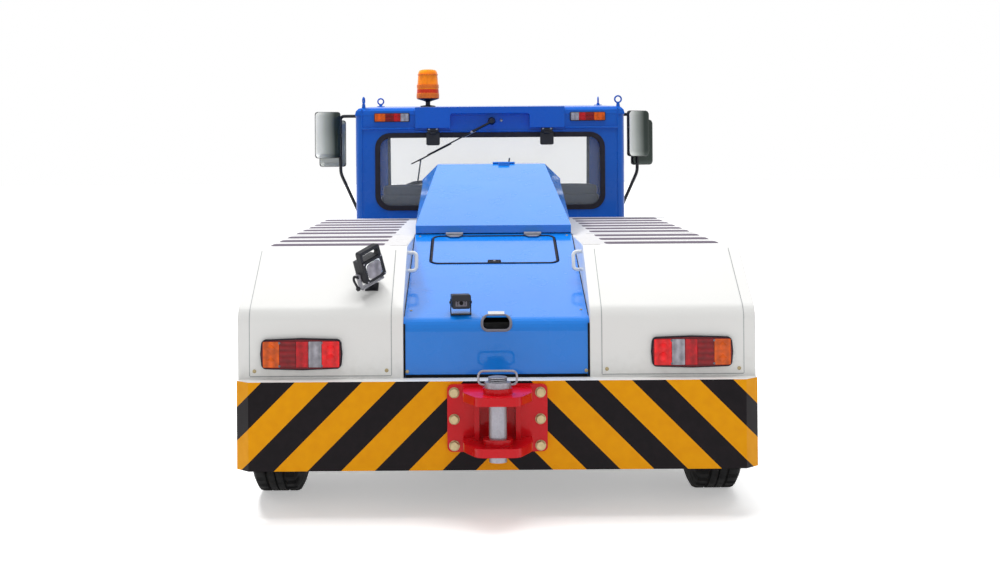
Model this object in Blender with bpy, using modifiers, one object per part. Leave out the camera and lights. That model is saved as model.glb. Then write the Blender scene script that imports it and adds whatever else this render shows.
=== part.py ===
"""Aircraft pushback tractor: the solid model, in metres, +Y forward, +X to the right, +Z up.

The origin is on the ground, midway between the two bumper faces and the two sides.
"""

import math

import bmesh
import bpy
from mathutils import Matrix, Vector

# Driving dimensions of the whole machine
BODY_LENGTH = 5.80  # rear bumper face to front bumper face
BODY_WIDTH = 2.30
DECK_TOP = 1.156
WHEEL_RADIUS = 0.45
TYRE_WIDTH = 0.23
REAR_OVERHANG = 0.60  # rear bumper face to rear axle
FRONT_OVERHANG = 0.90

BEACON_LIFT = 0.0023  # its level foot over the sloping roof

# Clearances
TOUCH = 0.0003  # two pieces that meet
RUNNING = 0.0005  # a pin in its bore, radially
PLAY = 0.005  # a moving piece beside a fixed one
DOOR_GAP = 0.010
HINGE_BARREL = 0.009  # radius of a hinge's knuckles
HINGE_LIFT = 0.001  # knuckle to the surface that its leaf lies on

# Bumpers
BUMPER_BOTTOM = 0.209
BUMPER_TOP = 0.599
BUMPER_DEPTH = 0.10
BUMPER_CHAMFER = 0.06

# Frame
FRAME_BOTTOM = 0.26
FRAME_TOP = 0.60
FRAME_NOTCH_TOP = 0.56
REAR_NOTCH_HALF = 0.15
FRONT_NOTCH_REAR = 0.28
FRONT_NOTCH_FRONT = 0.15

# Side boxes and the centre between them
BOX_INNER = 0.415  # half the width of the channel between the side boxes
BOX_BOTTOM = 0.30
BOX_BEND = 0.894
BOX_SLOPE_LENGTH = 0.43
BOX_EDGE_ROUND = 0.045
DECK_INNER = 0.50
DECK_OUTER = 1.08
DECK_THICKNESS = 0.012
DECK_END_MARGIN = 0.02
ARCH_GAP = 0.04
WHEEL_HOUSE_INNER = 0.82
AXLE_CHANNEL_HALF = 0.17
AXLE_CHANNEL_TOP = 0.64

# Blue centre panel, hood lid and cowl
SHEET = 0.020
PANEL_BEND = 0.849
PANEL_TOP = 1.166
PANEL_SETBACK = 0.11  # bumper face to the panel's upright part
LIP_SETBACK = 1.34  # bumper face to the hood's rear lip
LIP_TOP = 1.211
HOOD_SLOPE = 1.10  # horizontal length of the hinged lid
HOOD_TOP = 1.523
HOOD_SHOULDER = 1.432
HOOD_TOP_HALF = 0.322
COWL_END_GAP = 0.05
HOOD_HINGE_X = 0.075
HOOD_BARREL = 0.006
HATCH_HALF = 0.325
HATCH_LENGTH = 0.46
HATCH_TOP_MARGIN = 0.03
HATCH_ROUND = 0.05
HATCH_HINGE_X = 0.205
PORT_HALF = 0.062
PORT_HEIGHT = 0.08
ENGINE_HALF = 0.33
ENGINE_LENGTH = 1.30
ENGINE_TOP = 1.08

# Cab
CAB_LENGTH = 1.57
CAB_REAR = 0.49
CAB_HALF = 0.897
CAB_WALL = 0.050
CAB_CORNER = 0.06
REAR_RETURN = 0.13
FLOOR_THICKNESS = 0.04
FOOTWELL_HALF = 0.585
ROOF_UNDER = 1.84
ROOF_REAR_TOP = 1.894
ROOF_FRONT_TOP = 1.945
ROOF_ROUND = 0.045
DOOR_LENGTH = 0.79
DOOR_BOTTOM = 0.61
WINDOW_SILL = 1.12
REAR_WINDOW_HALF = 0.74
REAR_WINDOW_SILL = 1.233
REAR_WINDOW_TOP = 1.699
WINDOW_ROUND = 0.08
GLASS = 0.006
SCREEN_HALF = 0.77
SCREEN_TOP = 1.79
SCREEN_RAKE = 0.09

# Mirrors
MIRROR_Y = 1.70
MIRROR_REACH = 1.107
MIRROR_TUBE = 0.012

# Front body
FENDER_TOP = 1.02
FENDER_SHEET = 0.03
WELL_INNER = 0.63
WELL_TOP = 0.97
WELL_FRONT = 0.60  # front axle to the well's front wall
WELL_LOW_TOP = 0.62

# Axles and steering
STUB_RADIUS = 0.05
AXLE_RADIUS = 0.08
DRUM_RADIUS = 0.16
RIM_RADIUS = 0.29
KINGPIN_X = 0.78
KINGPIN_RADIUS = 0.022
STEER_ARM = 0.20
STEER_ARM_Z = 0.40
TIE_ROD_RADIUS = 0.018

# Hitches
HITCH_HALF = 0.2185
HITCH_BOTTOM = 0.295
HITCH_TOP = 0.588
HITCH_PLATE = 0.025
JAW_TOP = 0.575
JAW_LOW = 0.361
JAW_THICKNESS = 0.038
JAW_ROOT_HALF = 0.1485
JAW_TIP_HALF = 0.0885
JAW_REACH = 0.30
PIN_REACH = 0.19
PIN_RADIUS = 0.038
PIN_BOTTOM = 0.286
BOSS_RADIUS = 0.0635
BOSS_HEIGHT = 0.025
COLLAR_RADIUS = 0.056
CAP_RADIUS = 0.040
CAP_TOP = 0.631
LOOP_HALF = 0.082
LOOP_TOP = 0.671
LOOP_BOTTOM = 0.612
LOOP_ROD = 0.005

# Values worked out from those above
HALF_LENGTH = BODY_LENGTH / 2
HALF_WIDTH = BODY_WIDTH / 2
REAR_FACE = -HALF_LENGTH
BODY_REAR = REAR_FACE + BUMPER_DEPTH
BODY_FRONT = HALF_LENGTH - BUMPER_DEPTH
REAR_AXLE = REAR_FACE + REAR_OVERHANG
FRONT_AXLE = HALF_LENGTH - FRONT_OVERHANG
TYRE_OUTER = HALF_WIDTH - 0.02
WHEEL_X = TYRE_OUTER - TYRE_WIDTH / 2
CHANNEL_HALF = BOX_INNER - TOUCH
PANEL_REAR = REAR_FACE + PANEL_SETBACK
LIP_REAR = REAR_FACE + LIP_SETBACK
HOOD_FRONT = LIP_REAR + HOOD_SLOPE
SLOPE_ANGLE = math.atan2(PANEL_TOP - PANEL_BEND, LIP_REAR - PANEL_REAR)
CAB_FRONT = CAB_REAR + CAB_LENGTH
FLOOR_TOP = FRAME_TOP + TOUCH + FLOOR_THICKNESS
DOOR_REAR = CAB_REAR + REAR_RETURN + DOOR_GAP
DOOR_FRONT = DOOR_REAR + DOOR_LENGTH
DASH_REAR = FRONT_AXLE - 0.38
FRAME_REAR_EDGE = DOOR_FRONT + DOOR_GAP  # rear edge of the cab's front frame and of the fenders
SIDES = (("left", -1), ("right", 1))
ENDS = (("rear", -1), ("front", 1))
ROUND = 24  # sides of a pin and its bore
WHEEL_SIDES = 32

MODEL = "aircraft_pushback_tractor"

for old in list(bpy.data.objects):
    bpy.data.objects.remove(old)
parts = bpy.data.collections.new(MODEL)
helpers = bpy.data.collections.new("cutters")
bpy.context.scene.collection.children.link(parts)
bpy.context.scene.collection.children.link(helpers)

# name: (colour, roughness, metallic)
PAINTS = {
    "blue": ((0.008, 0.089, 0.479), 0.32, 0.0),
    "white": ((0.85, 0.85, 0.83), 0.38, 0.0),
    "black": ((0.02, 0.02, 0.022), 0.55, 0.0),
    "amber": ((0.745, 0.296, 0.006), 0.5, 0.0),
    "red": ((0.61, 0.005, 0.014), 0.35, 0.0),
    "deck": ((0.09, 0.09, 0.095), 0.7, 0.0),
    "rubber": ((0.015, 0.015, 0.016), 0.85, 0.0),
    "steel": ((0.55, 0.55, 0.57), 0.35, 1.0),
    "seat": ((0.035, 0.036, 0.04), 0.8, 0.0),
    "glass": ((0.55, 0.65, 0.68), 0.05, 0.0),
    "lens": ((0.6, 0.03, 0.02), 0.2, 0.0),
    "clear": ((0.8, 0.85, 0.9), 0.1, 0.0),
    "beacon": ((0.8, 0.3, 0.02), 0.15, 0.0),
}
paints = {}
for paint, (colour, roughness, metallic) in PAINTS.items():
    made = bpy.data.materials.new(paint)
    made.use_nodes = True
    shader = made.node_tree.nodes["Principled BSDF"]
    shader.inputs["Base Color"].default_value = (*colour, 1.0)
    shader.inputs["Roughness"].default_value = roughness
    shader.inputs["Metallic"].default_value = metallic
    paints[paint] = made


# --- Making solids ---------------------------------------------------------

PLANES = {  # the outline's own x, y and the direction it is extruded in
    "XY": Matrix(((1, 0, 0), (0, 1, 0), (0, 0, 1))),
    "YZ": Matrix(((0, 0, 1), (1, 0, 0), (0, 1, 0))),
    "XZ": Matrix(((1, 0, 0), (0, 0, -1), (0, 1, 0))),
}


def place(name, mesh, paint):
    """A new object in the parts collection, or a hidden helper where paint is None."""
    solid = bpy.data.objects.new(name, mesh)
    if paint is None:
        helpers.objects.link(solid)
        solid.hide_render = True
        solid.display_type = "WIRE"
    else:
        parts.objects.link(solid)
        mesh.materials.clear()
        mesh.materials.append(paints[paint])
    return solid


def from_bmesh(name, shape, paint):
    mesh = bpy.data.meshes.new(name)
    shape.to_mesh(mesh)
    shape.free()
    return place(name, mesh, paint)


def box(name, low, high, paint=None):
    low, high = Vector(low), Vector(high)
    size = Matrix.Diagonal((*(high - low), 1))
    shape = bmesh.new()
    bmesh.ops.create_cube(shape, size=1, matrix=Matrix.Translation((low + high) / 2) @ size)
    return from_bmesh(name, shape, paint)


def rod(name, start, end, radius, paint=None, sides=ROUND):
    """A round bar between two points."""
    start, end = Vector(start), Vector(end)
    along = end - start
    turn = along.to_track_quat("Z", "Y").to_matrix().to_4x4()
    shape = bmesh.new()
    bmesh.ops.create_cone(
        shape,
        cap_ends=True,
        segments=sides,
        radius1=radius,
        radius2=radius,
        depth=along.length,
        matrix=Matrix.Translation((start + end) / 2) @ turn,
    )
    return from_bmesh(name, shape, paint)


def turned(name, profile, centre, outward, paint, sides=40, closed=True):
    """A profile of (radius, height) points turned about an axis that points outward."""
    shape = bmesh.new()
    points = [shape.verts.new((radius, 0, height)) for radius, height in profile]
    for first, second in zip(points, points[1:] + points[:1] if closed else points[1:]):
        shape.edges.new((first, second))
    solid = from_bmesh(name, shape, paint)
    solid.matrix_world = (
        Matrix.Translation(centre) @ Vector(outward).to_track_quat("Z", "Y").to_matrix().to_4x4()
    )
    screw = solid.modifiers.new("turn", "SCREW")
    screw.steps = screw.render_steps = sides
    screw.use_merge_vertices = True
    screw.merge_threshold = 0.00005
    screw.use_smooth_shade = False
    return solid


def rounded(corners, steps=5):
    """The outline's points; a corner is (x, y) or (x, y, radius)."""
    points = []
    for index, corner in enumerate(corners):
        here = Vector(corner[:2])
        radius = corner[2] if len(corner) > 2 else 0
        if not radius:
            points.append(here)
            continue
        before = (Vector(corners[index - 1][:2]) - here).normalized()
        after = (Vector(corners[(index + 1) % len(corners)][:2]) - here).normalized()
        half = before.angle(after) / 2
        centre = here + (before + after).normalized() * radius / math.sin(half)
        start = here + before * radius / math.tan(half) - centre
        turn = start.angle_signed(here + after * radius / math.tan(half) - centre)
        for step in range(steps + 1):
            points.append(centre + Matrix.Rotation(-turn * step / steps, 2) @ start)
    return points


def inset(corners, gap):
    """The same outline with each side moved inward by gap; corners run anticlockwise."""
    moved = []
    count = len(corners)
    for index in range(count):
        before, here, after = (Vector(corners[(index + k) % count][:2]) for k in (-1, 0, 1))
        first, second = (here - before).normalized(), (after - here).normalized()
        normal_first = Vector((-first.y, first.x))
        normal_second = Vector((-second.y, second.x))
        shift = (normal_first + normal_second) * gap / (1 + normal_first.dot(normal_second))
        radius = max(corners[index][2] - gap, 0) if len(corners[index]) > 2 else 0
        moved.append((*(here + shift), radius))
    return moved


def to_mesh(curve, name, paint):
    graph = bpy.context.evaluated_depsgraph_get()
    mesh = bpy.data.meshes.new_from_object(curve.evaluated_get(graph))
    shape = bmesh.new()
    shape.from_mesh(mesh)
    bmesh.ops.remove_doubles(shape, verts=shape.verts, dist=0.00001)
    bmesh.ops.recalc_face_normals(shape, faces=shape.faces)
    shape.transform(curve.matrix_world)
    shape.to_mesh(mesh)
    shape.free()
    bpy.data.objects.remove(curve)
    return place(name, mesh, paint)


def slab(name, plane, outlines, start, end, paint=None):
    """Flat outlines, the first around the others, extruded from start to end across the plane."""
    data = bpy.data.curves.new(name, "CURVE")
    data.dimensions = "2D"
    data.fill_mode = "BOTH"
    data.extrude = abs(end - start) / 2
    for outline in outlines:
        points = rounded(outline)
        spline = data.splines.new("POLY")
        spline.points.add(len(points) - 1)
        for point, (x, y) in zip(spline.points, points):
            point.co = (x, y, 0, 1)
        spline.use_cyclic_u = True
    curve = bpy.data.objects.new(name, data)
    helpers.objects.link(curve)
    axes = PLANES[plane]
    middle = (start + end) / 2
    if plane == "XZ":
        middle = -middle
    curve.matrix_world = Matrix.Translation(axes @ Vector((0, 0, middle))) @ axes.to_4x4()
    bpy.context.view_layer.update()
    return to_mesh(curve, name, paint)


def tube(name, route, radius, paint=None, resolution=2, closed=False):
    """A bent round bar through the route's points."""
    data = bpy.data.curves.new(name, "CURVE")
    data.dimensions = "3D"
    data.bevel_depth = radius
    data.bevel_resolution = resolution
    data.use_fill_caps = not closed
    spline = data.splines.new("POLY")
    spline.points.add(len(route) - 1)
    for point, place_ in zip(spline.points, route):
        point.co = (*place_, 1)
    spline.use_cyclic_u = closed
    curve = bpy.data.objects.new(name, data)
    helpers.objects.link(curve)
    bpy.context.view_layer.update()
    return to_mesh(curve, name, paint)


def bend(route, radius, steps=4):
    """A route in space with its inner corners rounded."""
    points = [Vector(route[0])]
    for before, here, after in zip(route, route[1:], route[2:]):
        here = Vector(here)
        to_before = (Vector(before) - here).normalized()
        to_after = (Vector(after) - here).normalized()
        for step in range(steps + 1):
            share = step / steps
            first = here + to_before * radius * (1 - share)
            second = here + to_after * radius * share
            points.append(first.lerp(second, share))
    points.append(Vector(route[-1]))
    return points


def combine(target, operation, others):
    for other in others:
        step = target.modifiers.new(other.name, "BOOLEAN")
        step.operation = operation
        step.solver = "EXACT"
        step.object = other
    return target


def cut(target, *cutters):
    return combine(target, "DIFFERENCE", cutters)


def fuse(target, *others):
    return combine(target, "UNION", others)


def round_edges(solid, test, radius, segments=3):
    """Rounds the edges whose two ends both pass the test."""
    shape = bmesh.new()
    shape.from_mesh(solid.data)
    chosen = [edge for edge in shape.edges if all(test(vert.co) for vert in edge.verts)]
    chosen = [edge for edge in chosen if edge.calc_face_angle(0) > math.radians(20)]
    bmesh.ops.bevel(
        shape,
        geom=chosen,
        offset=radius,
        offset_type="OFFSET",
        segments=segments,
        profile=0.5,
        affect="EDGES",
        clamp_overlap=True,
    )
    shape.to_mesh(solid.data)
    shape.free()
    return solid


def pivot(name, centre, *moving):
    """An empty on a joint's axis that carries the pieces which move about it."""
    empty = bpy.data.objects.new(name, None)
    parts.objects.link(empty)
    empty.location = centre
    bpy.context.view_layer.update()
    for piece in moving:
        piece.parent = empty
        piece.matrix_parent_inverse = empty.matrix_world.inverted()
    return empty


def across(side, inner, outer):
    """The low and high X of a piece between two distances from the middle, on one side."""
    return (inner, outer) if side > 0 else (-outer, -inner)


# --- Frame, engine and bumpers ---------------------------------------------


def make_frame():
    rear_notch = (REAR_AXLE - REAR_NOTCH_HALF, REAR_AXLE + REAR_NOTCH_HALF)
    front_notch = (FRONT_AXLE - FRONT_NOTCH_REAR, FRONT_AXLE + FRONT_NOTCH_FRONT)
    outline = [(BODY_REAR + TOUCH, FRAME_TOP), (BODY_REAR + TOUCH, FRAME_BOTTOM)]
    for low, high in (rear_notch, front_notch):
        outline += [(low, FRAME_BOTTOM), (low, FRAME_NOTCH_TOP)]
        outline += [(high, FRAME_NOTCH_TOP), (high, FRAME_BOTTOM)]
    outline += [(BODY_FRONT - TOUCH, FRAME_BOTTOM), (BODY_FRONT - TOUCH, FRAME_TOP)]
    slab("chassis_frame", "YZ", [outline], -CHANNEL_HALF, CHANNEL_HALF, "black")


def make_engine():
    rear = LIP_REAR + 0.16
    engine = box(
        "engine_block",
        (-ENGINE_HALF, rear, FRAME_TOP + TOUCH),
        (ENGINE_HALF, rear + ENGINE_LENGTH, ENGINE_TOP),
        "steel",
    )
    round_edges(engine, lambda point: point.z > FRAME_TOP + 0.1, 0.03, 2)


def make_bumper(end, way):
    face, back = way * HALF_LENGTH, way * (HALF_LENGTH - BUMPER_DEPTH)
    chamfered = face - way * BUMPER_CHAMFER
    outline = [
        (-HALF_WIDTH, back),
        (-HALF_WIDTH, chamfered),
        (BUMPER_CHAMFER - HALF_WIDTH, face),
        (HALF_WIDTH - BUMPER_CHAMFER, face),
        (HALF_WIDTH, chamfered),
        (HALF_WIDTH, back),
    ]
    slab(end + "_bumper", "XY", [outline], BUMPER_BOTTOM, BUMPER_TOP, "amber")


# --- Hitches ---------------------------------------------------------------


def make_hitch(end, way):
    face = way * (HALF_LENGTH + TOUCH)
    plate_face = face + way * HITCH_PLATE
    pin = way * (HALF_LENGTH + PIN_REACH)
    tip = way * (HALF_LENGTH + JAW_REACH)
    plate_outline = [
        (-HITCH_HALF, HITCH_BOTTOM, 0.022),
        (HITCH_HALF, HITCH_BOTTOM, 0.022),
        (HITCH_HALF, HITCH_TOP, 0.022),
        (-HITCH_HALF, HITCH_TOP, 0.022),
    ]
    hitch = slab(end + "_hitch", "XZ", [plate_outline], face, plate_face, "red")
    root = face + way * HITCH_PLATE / 2
    shoulder = pin - way * 0.03
    jaw_outline = [
        (-JAW_ROOT_HALF, root),
        (-JAW_ROOT_HALF, shoulder, 0.10),
        (-JAW_TIP_HALF, tip, 0.05),
        (JAW_TIP_HALF, tip, 0.05),
        (JAW_ROOT_HALF, shoulder, 0.10),
        (JAW_ROOT_HALF, root),
    ]
    joined = []
    for level, top in (("upper", JAW_TOP), ("lower", JAW_LOW)):
        jaw = slab(f"{end}_{level}_jaw", "XY", [jaw_outline], top - JAW_THICKNESS, top)
        boss = rod(
            f"{end}_{level}_boss", (0, pin, top - 0.004), (0, pin, top + BOSS_HEIGHT), BOSS_RADIUS
        )
        joined += [jaw, boss]
    for side, sign in SIDES:
        low, high = across(sign, 0.078, 0.100)
        near, far = sorted((root, face + way * 0.10))
        joined.append(box(f"{end}_{side}_web", (low, near, JAW_LOW - 0.01), (high, far, JAW_TOP - 0.02)))
    fuse(hitch, *joined)
    bore = rod(
        end + "_pin_bore", (0, pin, HITCH_BOTTOM - 0.1), (0, pin, HITCH_TOP + 0.1), PIN_RADIUS + RUNNING
    )
    cut(hitch, bore)
    make_pin(end, pin)


def make_pin(end, pin):
    seat = JAW_TOP + BOSS_HEIGHT + TOUCH
    shank = rod(end + "_pin", (0, pin, PIN_BOTTOM), (0, pin, CAP_TOP - 0.01), PIN_RADIUS, "steel")
    collar = rod(end + "_pin_collar", (0, pin, seat), (0, pin, seat + BOSS_HEIGHT), COLLAR_RADIUS)
    cap = rod(end + "_pin_cap", (0, pin, seat + 0.02), (0, pin, CAP_TOP), CAP_RADIUS)
    corners = [
        (-LOOP_HALF, LOOP_BOTTOM, 0.02),
        (LOOP_HALF, LOOP_BOTTOM, 0.02),
        (LOOP_HALF, LOOP_TOP, 0.02),
        (-LOOP_HALF, LOOP_TOP, 0.02),
    ]
    route = [(x, pin, z) for x, z in rounded(corners, 3)]
    loop = tube(end + "_pin_loop", route, LOOP_ROD, closed=True)
    fuse(shank, collar, cap, loop)
    pivot(end + "_pin_slide", (0, pin, seat), shank)


# --- Axles, wheels and steering --------------------------------------------


def make_rear_axle():
    hub = WHEEL_RADIUS
    end = WHEEL_HOUSE_INNER + 0.04
    beam = rod("rear_axle", (-end, REAR_AXLE, hub), (end, REAR_AXLE, hub), AXLE_RADIUS, "black")
    case_radius = FRAME_NOTCH_TOP - hub - 0.01
    case = rod("rear_differential", (-0.16, REAR_AXLE, hub), (0.16, REAR_AXLE, hub), case_radius)
    joined = [case]
    for side, sign in SIDES:
        low, high = across(sign, 0.27, 0.37)
        joined.append(
            box(
                f"rear_{side}_pad",
                (low, REAR_AXLE - 0.07, hub),
                (high, REAR_AXLE + 0.07, FRAME_NOTCH_TOP - TOUCH),
            )
        )
        joined += hub_stub(f"rear_{side}", sign, REAR_AXLE)
    fuse(beam, *joined)


def hub_stub(name, sign, axle):
    """The brake drum and the stub that a wheel turns on."""
    start = sign * (WHEEL_HOUSE_INNER - 0.01)
    drum = rod(
        name + "_drum",
        (sign * (WHEEL_HOUSE_INNER + 0.03), axle, WHEEL_RADIUS),
        (sign * (WHEEL_X - 0.10), axle, WHEEL_RADIUS),
        DRUM_RADIUS,
    )
    stub = rod(
        name + "_stub",
        (start, axle, WHEEL_RADIUS),
        (sign * (WHEEL_X + 0.03), axle, WHEEL_RADIUS),
        STUB_RADIUS,
    )
    return [drum, stub]


def make_wheel(end, side, sign, axle):
    centre = (sign * WHEEL_X, axle, WHEEL_RADIUS)
    half = TYRE_WIDTH / 2
    bead = RIM_RADIUS + TOUCH
    tyre_profile = [
        (bead, -half + 0.02),
        (bead, half - 0.02),
        (bead + 0.02, half - 0.008),
        (WHEEL_RADIUS - 0.09, half),
        (WHEEL_RADIUS - 0.02, half - 0.016),
        (WHEEL_RADIUS, half - 0.035),
        (WHEEL_RADIUS, -half + 0.035),
        (WHEEL_RADIUS - 0.02, -half + 0.016),
        (WHEEL_RADIUS - 0.09, -half),
        (bead + 0.02, -half + 0.008),
    ]
    tyre = turned(f"{end}_{side}_tyre", tyre_profile, centre, (sign, 0, 0), "rubber", WHEEL_SIDES)
    bore = STUB_RADIUS + RUNNING
    rim_profile = [
        (bore, 0.05),
        (0.085, 0.05),
        (0.095, 0.0),
        (0.20, 0.0),
        (0.262, 0.045),
        (RIM_RADIUS, half - 0.022),
        (RIM_RADIUS, -half + 0.022),
        (0.262, 0.02),
        (0.21, -0.03),
        (bore, -0.03),
    ]
    rim = turned(f"{end}_{side}_rim", rim_profile, centre, (sign, 0, 0), "white", WHEEL_SIDES)
    pivot(f"{end}_{side}_hub", centre, tyre, rim)


def make_front_axle():
    hub = WHEEL_RADIUS
    end = KINGPIN_X - 0.075
    beam = rod("front_axle", (-end, FRONT_AXLE, hub), (end, FRONT_AXLE, hub), AXLE_RADIUS - 0.01, "black")
    joined = []
    for side, sign in SIDES:
        low, high = across(sign, 0.27, 0.37)
        joined.append(
            box(
                f"front_{side}_pad",
                (low, FRONT_AXLE - 0.06, hub),
                (high, FRONT_AXLE + 0.06, FRAME_NOTCH_TOP - TOUCH),
            )
        )
        low, high = across(sign, end - 0.06, end)
        joined.append(
            box(f"yoke_{side}", (low, FRONT_AXLE - 0.045, hub - 0.14), (high, FRONT_AXLE + 0.045, hub + 0.14))
        )
        low, high = across(sign, end - 0.01, KINGPIN_X + 0.04)
        for level, bottom in (("upper", hub + 0.105), ("lower", hub - 0.14)):
            joined.append(
                box(
                    f"yoke_{side}_{level}",
                    (low, FRONT_AXLE - 0.045, bottom),
                    (high, FRONT_AXLE + 0.045, bottom + 0.035),
                )
            )
        pin = sign * KINGPIN_X
        joined.append(
            rod(
                f"kingpin_{side}",
                (pin, FRONT_AXLE, hub - 0.16),
                (pin, FRONT_AXLE, hub + 0.16),
                KINGPIN_RADIUS,
            )
        )
    fuse(beam, *joined)


def make_knuckle(side, sign):
    hub = WHEEL_RADIUS
    pin = sign * KINGPIN_X
    low, high = across(sign, KINGPIN_X - 0.045, KINGPIN_X + 0.06)
    knuckle = box(
        "knuckle_" + side,
        (low, FRONT_AXLE - 0.045, hub - 0.10),
        (high, FRONT_AXLE + 0.045, hub + 0.10),
        "black",
    )
    joined = hub_stub("front_" + side, sign, FRONT_AXLE)
    low, high = across(sign, KINGPIN_X - 0.02, KINGPIN_X + 0.02)
    arm = box(
        f"steer_arm_{side}",
        (low, FRONT_AXLE - STEER_ARM - 0.03, STEER_ARM_Z - 0.015),
        (high, FRONT_AXLE - 0.03, STEER_ARM_Z + 0.015),
    )
    joined.append(arm)
    fuse(knuckle, *joined)
    bore = rod(
        f"kingpin_bore_{side}",
        (pin, FRONT_AXLE, hub - 0.3),
        (pin, FRONT_AXLE, hub + 0.3),
        KINGPIN_RADIUS + RUNNING,
    )
    cut(knuckle, bore)
    pivot("kingpin_axis_" + side, (pin, FRONT_AXLE, hub), knuckle)


def make_tie_rod():
    """The rod under the two steering arms, with an eye and a short pin at each end."""
    row = FRONT_AXLE - STEER_ARM
    arm_bottom = STEER_ARM_Z - 0.015
    level = arm_bottom - TOUCH - TIE_ROD_RADIUS - 0.012
    rod_piece = rod(
        "tie_rod", (-KINGPIN_X, row, level), (KINGPIN_X, row, level), TIE_ROD_RADIUS, "black", 16
    )
    eyes = [
        rod(
            "tie_rod_eye_" + side,
            (sign * KINGPIN_X, row, level - 0.028),
            (sign * KINGPIN_X, row, arm_bottom - TOUCH),
            0.030,
            sides=16,
        )
        for side, sign in SIDES
    ]
    fuse(rod_piece, *eyes)
    pivot("tie_rod_axis", (-KINGPIN_X, row, level), rod_piece)


# --- Side boxes and decks --------------------------------------------------


def make_side_box(side, sign):
    front = CAB_REAR - TOUCH
    rear = BODY_REAR + TOUCH
    outline = [
        (rear, BOX_BOTTOM),
        (front, BOX_BOTTOM),
        (front, DECK_TOP),
        (REAR_FACE + BUMPER_DEPTH + BOX_SLOPE_LENGTH, DECK_TOP, 0.04),
        (rear, BOX_BEND, 0.08),
    ]
    low, high = across(sign, BOX_INNER, HALF_WIDTH)
    body = slab("side_box_" + side, "YZ", [outline], low, high, "white")
    outer = HALF_WIDTH - 0.001
    round_edges(body, lambda point: abs(point.x) > outer and point.z > BOX_BEND - 0.12, BOX_EDGE_ROUND)
    radius = WHEEL_RADIUS + ARCH_GAP
    arch = [(REAR_AXLE - radius, BOX_BOTTOM - 0.1), (REAR_AXLE + radius, BOX_BOTTOM - 0.1)]
    for step in range(17):
        angle = math.pi * step / 16
        arch.append(
            (REAR_AXLE + radius * math.cos(angle), WHEEL_RADIUS + radius * math.sin(angle))
        )
    low, high = across(sign, WHEEL_HOUSE_INNER, HALF_WIDTH + 0.1)
    wheel_house = slab("wheel_house_" + side, "YZ", [arch], low, high)
    low, high = across(sign, BOX_INNER - 0.1, WHEEL_HOUSE_INNER + 0.01)
    channel = box(
        "axle_channel_" + side,
        (low, REAR_AXLE - AXLE_CHANNEL_HALF, BOX_BOTTOM - 0.1),
        (high, REAR_AXLE + AXLE_CHANNEL_HALF, AXLE_CHANNEL_TOP),
    )
    deck_rear = BODY_REAR + BOX_SLOPE_LENGTH + DECK_END_MARGIN
    deck_front = CAB_REAR - DECK_END_MARGIN
    floor = DECK_TOP - DECK_THICKNESS
    low, high = across(sign, DECK_INNER, DECK_OUTER)
    recess = box(
        "deck_recess_" + side,
        (low - TOUCH, deck_rear - TOUCH, floor - TOUCH),
        (high + TOUCH, deck_front + TOUCH, DECK_TOP + 0.1),
    )
    cut(body, wheel_house, channel, recess)
    box("deck_" + side, (low, deck_rear, floor), (high, deck_front, DECK_TOP), "deck")


# --- Blue centre panel, hatch, hood lid and cowl ---------------------------


def slope_point(distance, height):
    """A (Y, Z) point on the centre panel's slope, measured down from its top edge."""
    along = Vector((-math.cos(SLOPE_ANGLE), -math.sin(SLOPE_ANGLE)))
    up = Vector((-math.sin(SLOPE_ANGLE), math.cos(SLOPE_ANGLE)))
    return Vector((LIP_REAR, PANEL_TOP)) + along * distance + up * height


def slope_block(name, half, near, far, bottom, top, paint=None, corner=0.0):
    """A flat piece lying in the slope, with its plan corners rounded."""
    outline = [
        (-half, -far, corner),
        (half, -far, corner),
        (half, -near, corner),
        (-half, -near, corner),
    ]
    piece = slab(name, "XY", [outline], bottom, top, paint)
    piece.data.transform(
        Matrix.Translation((0, LIP_REAR, PANEL_TOP)) @ Matrix.Rotation(SLOPE_ANGLE, 4, "X")
    )
    return piece


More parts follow.
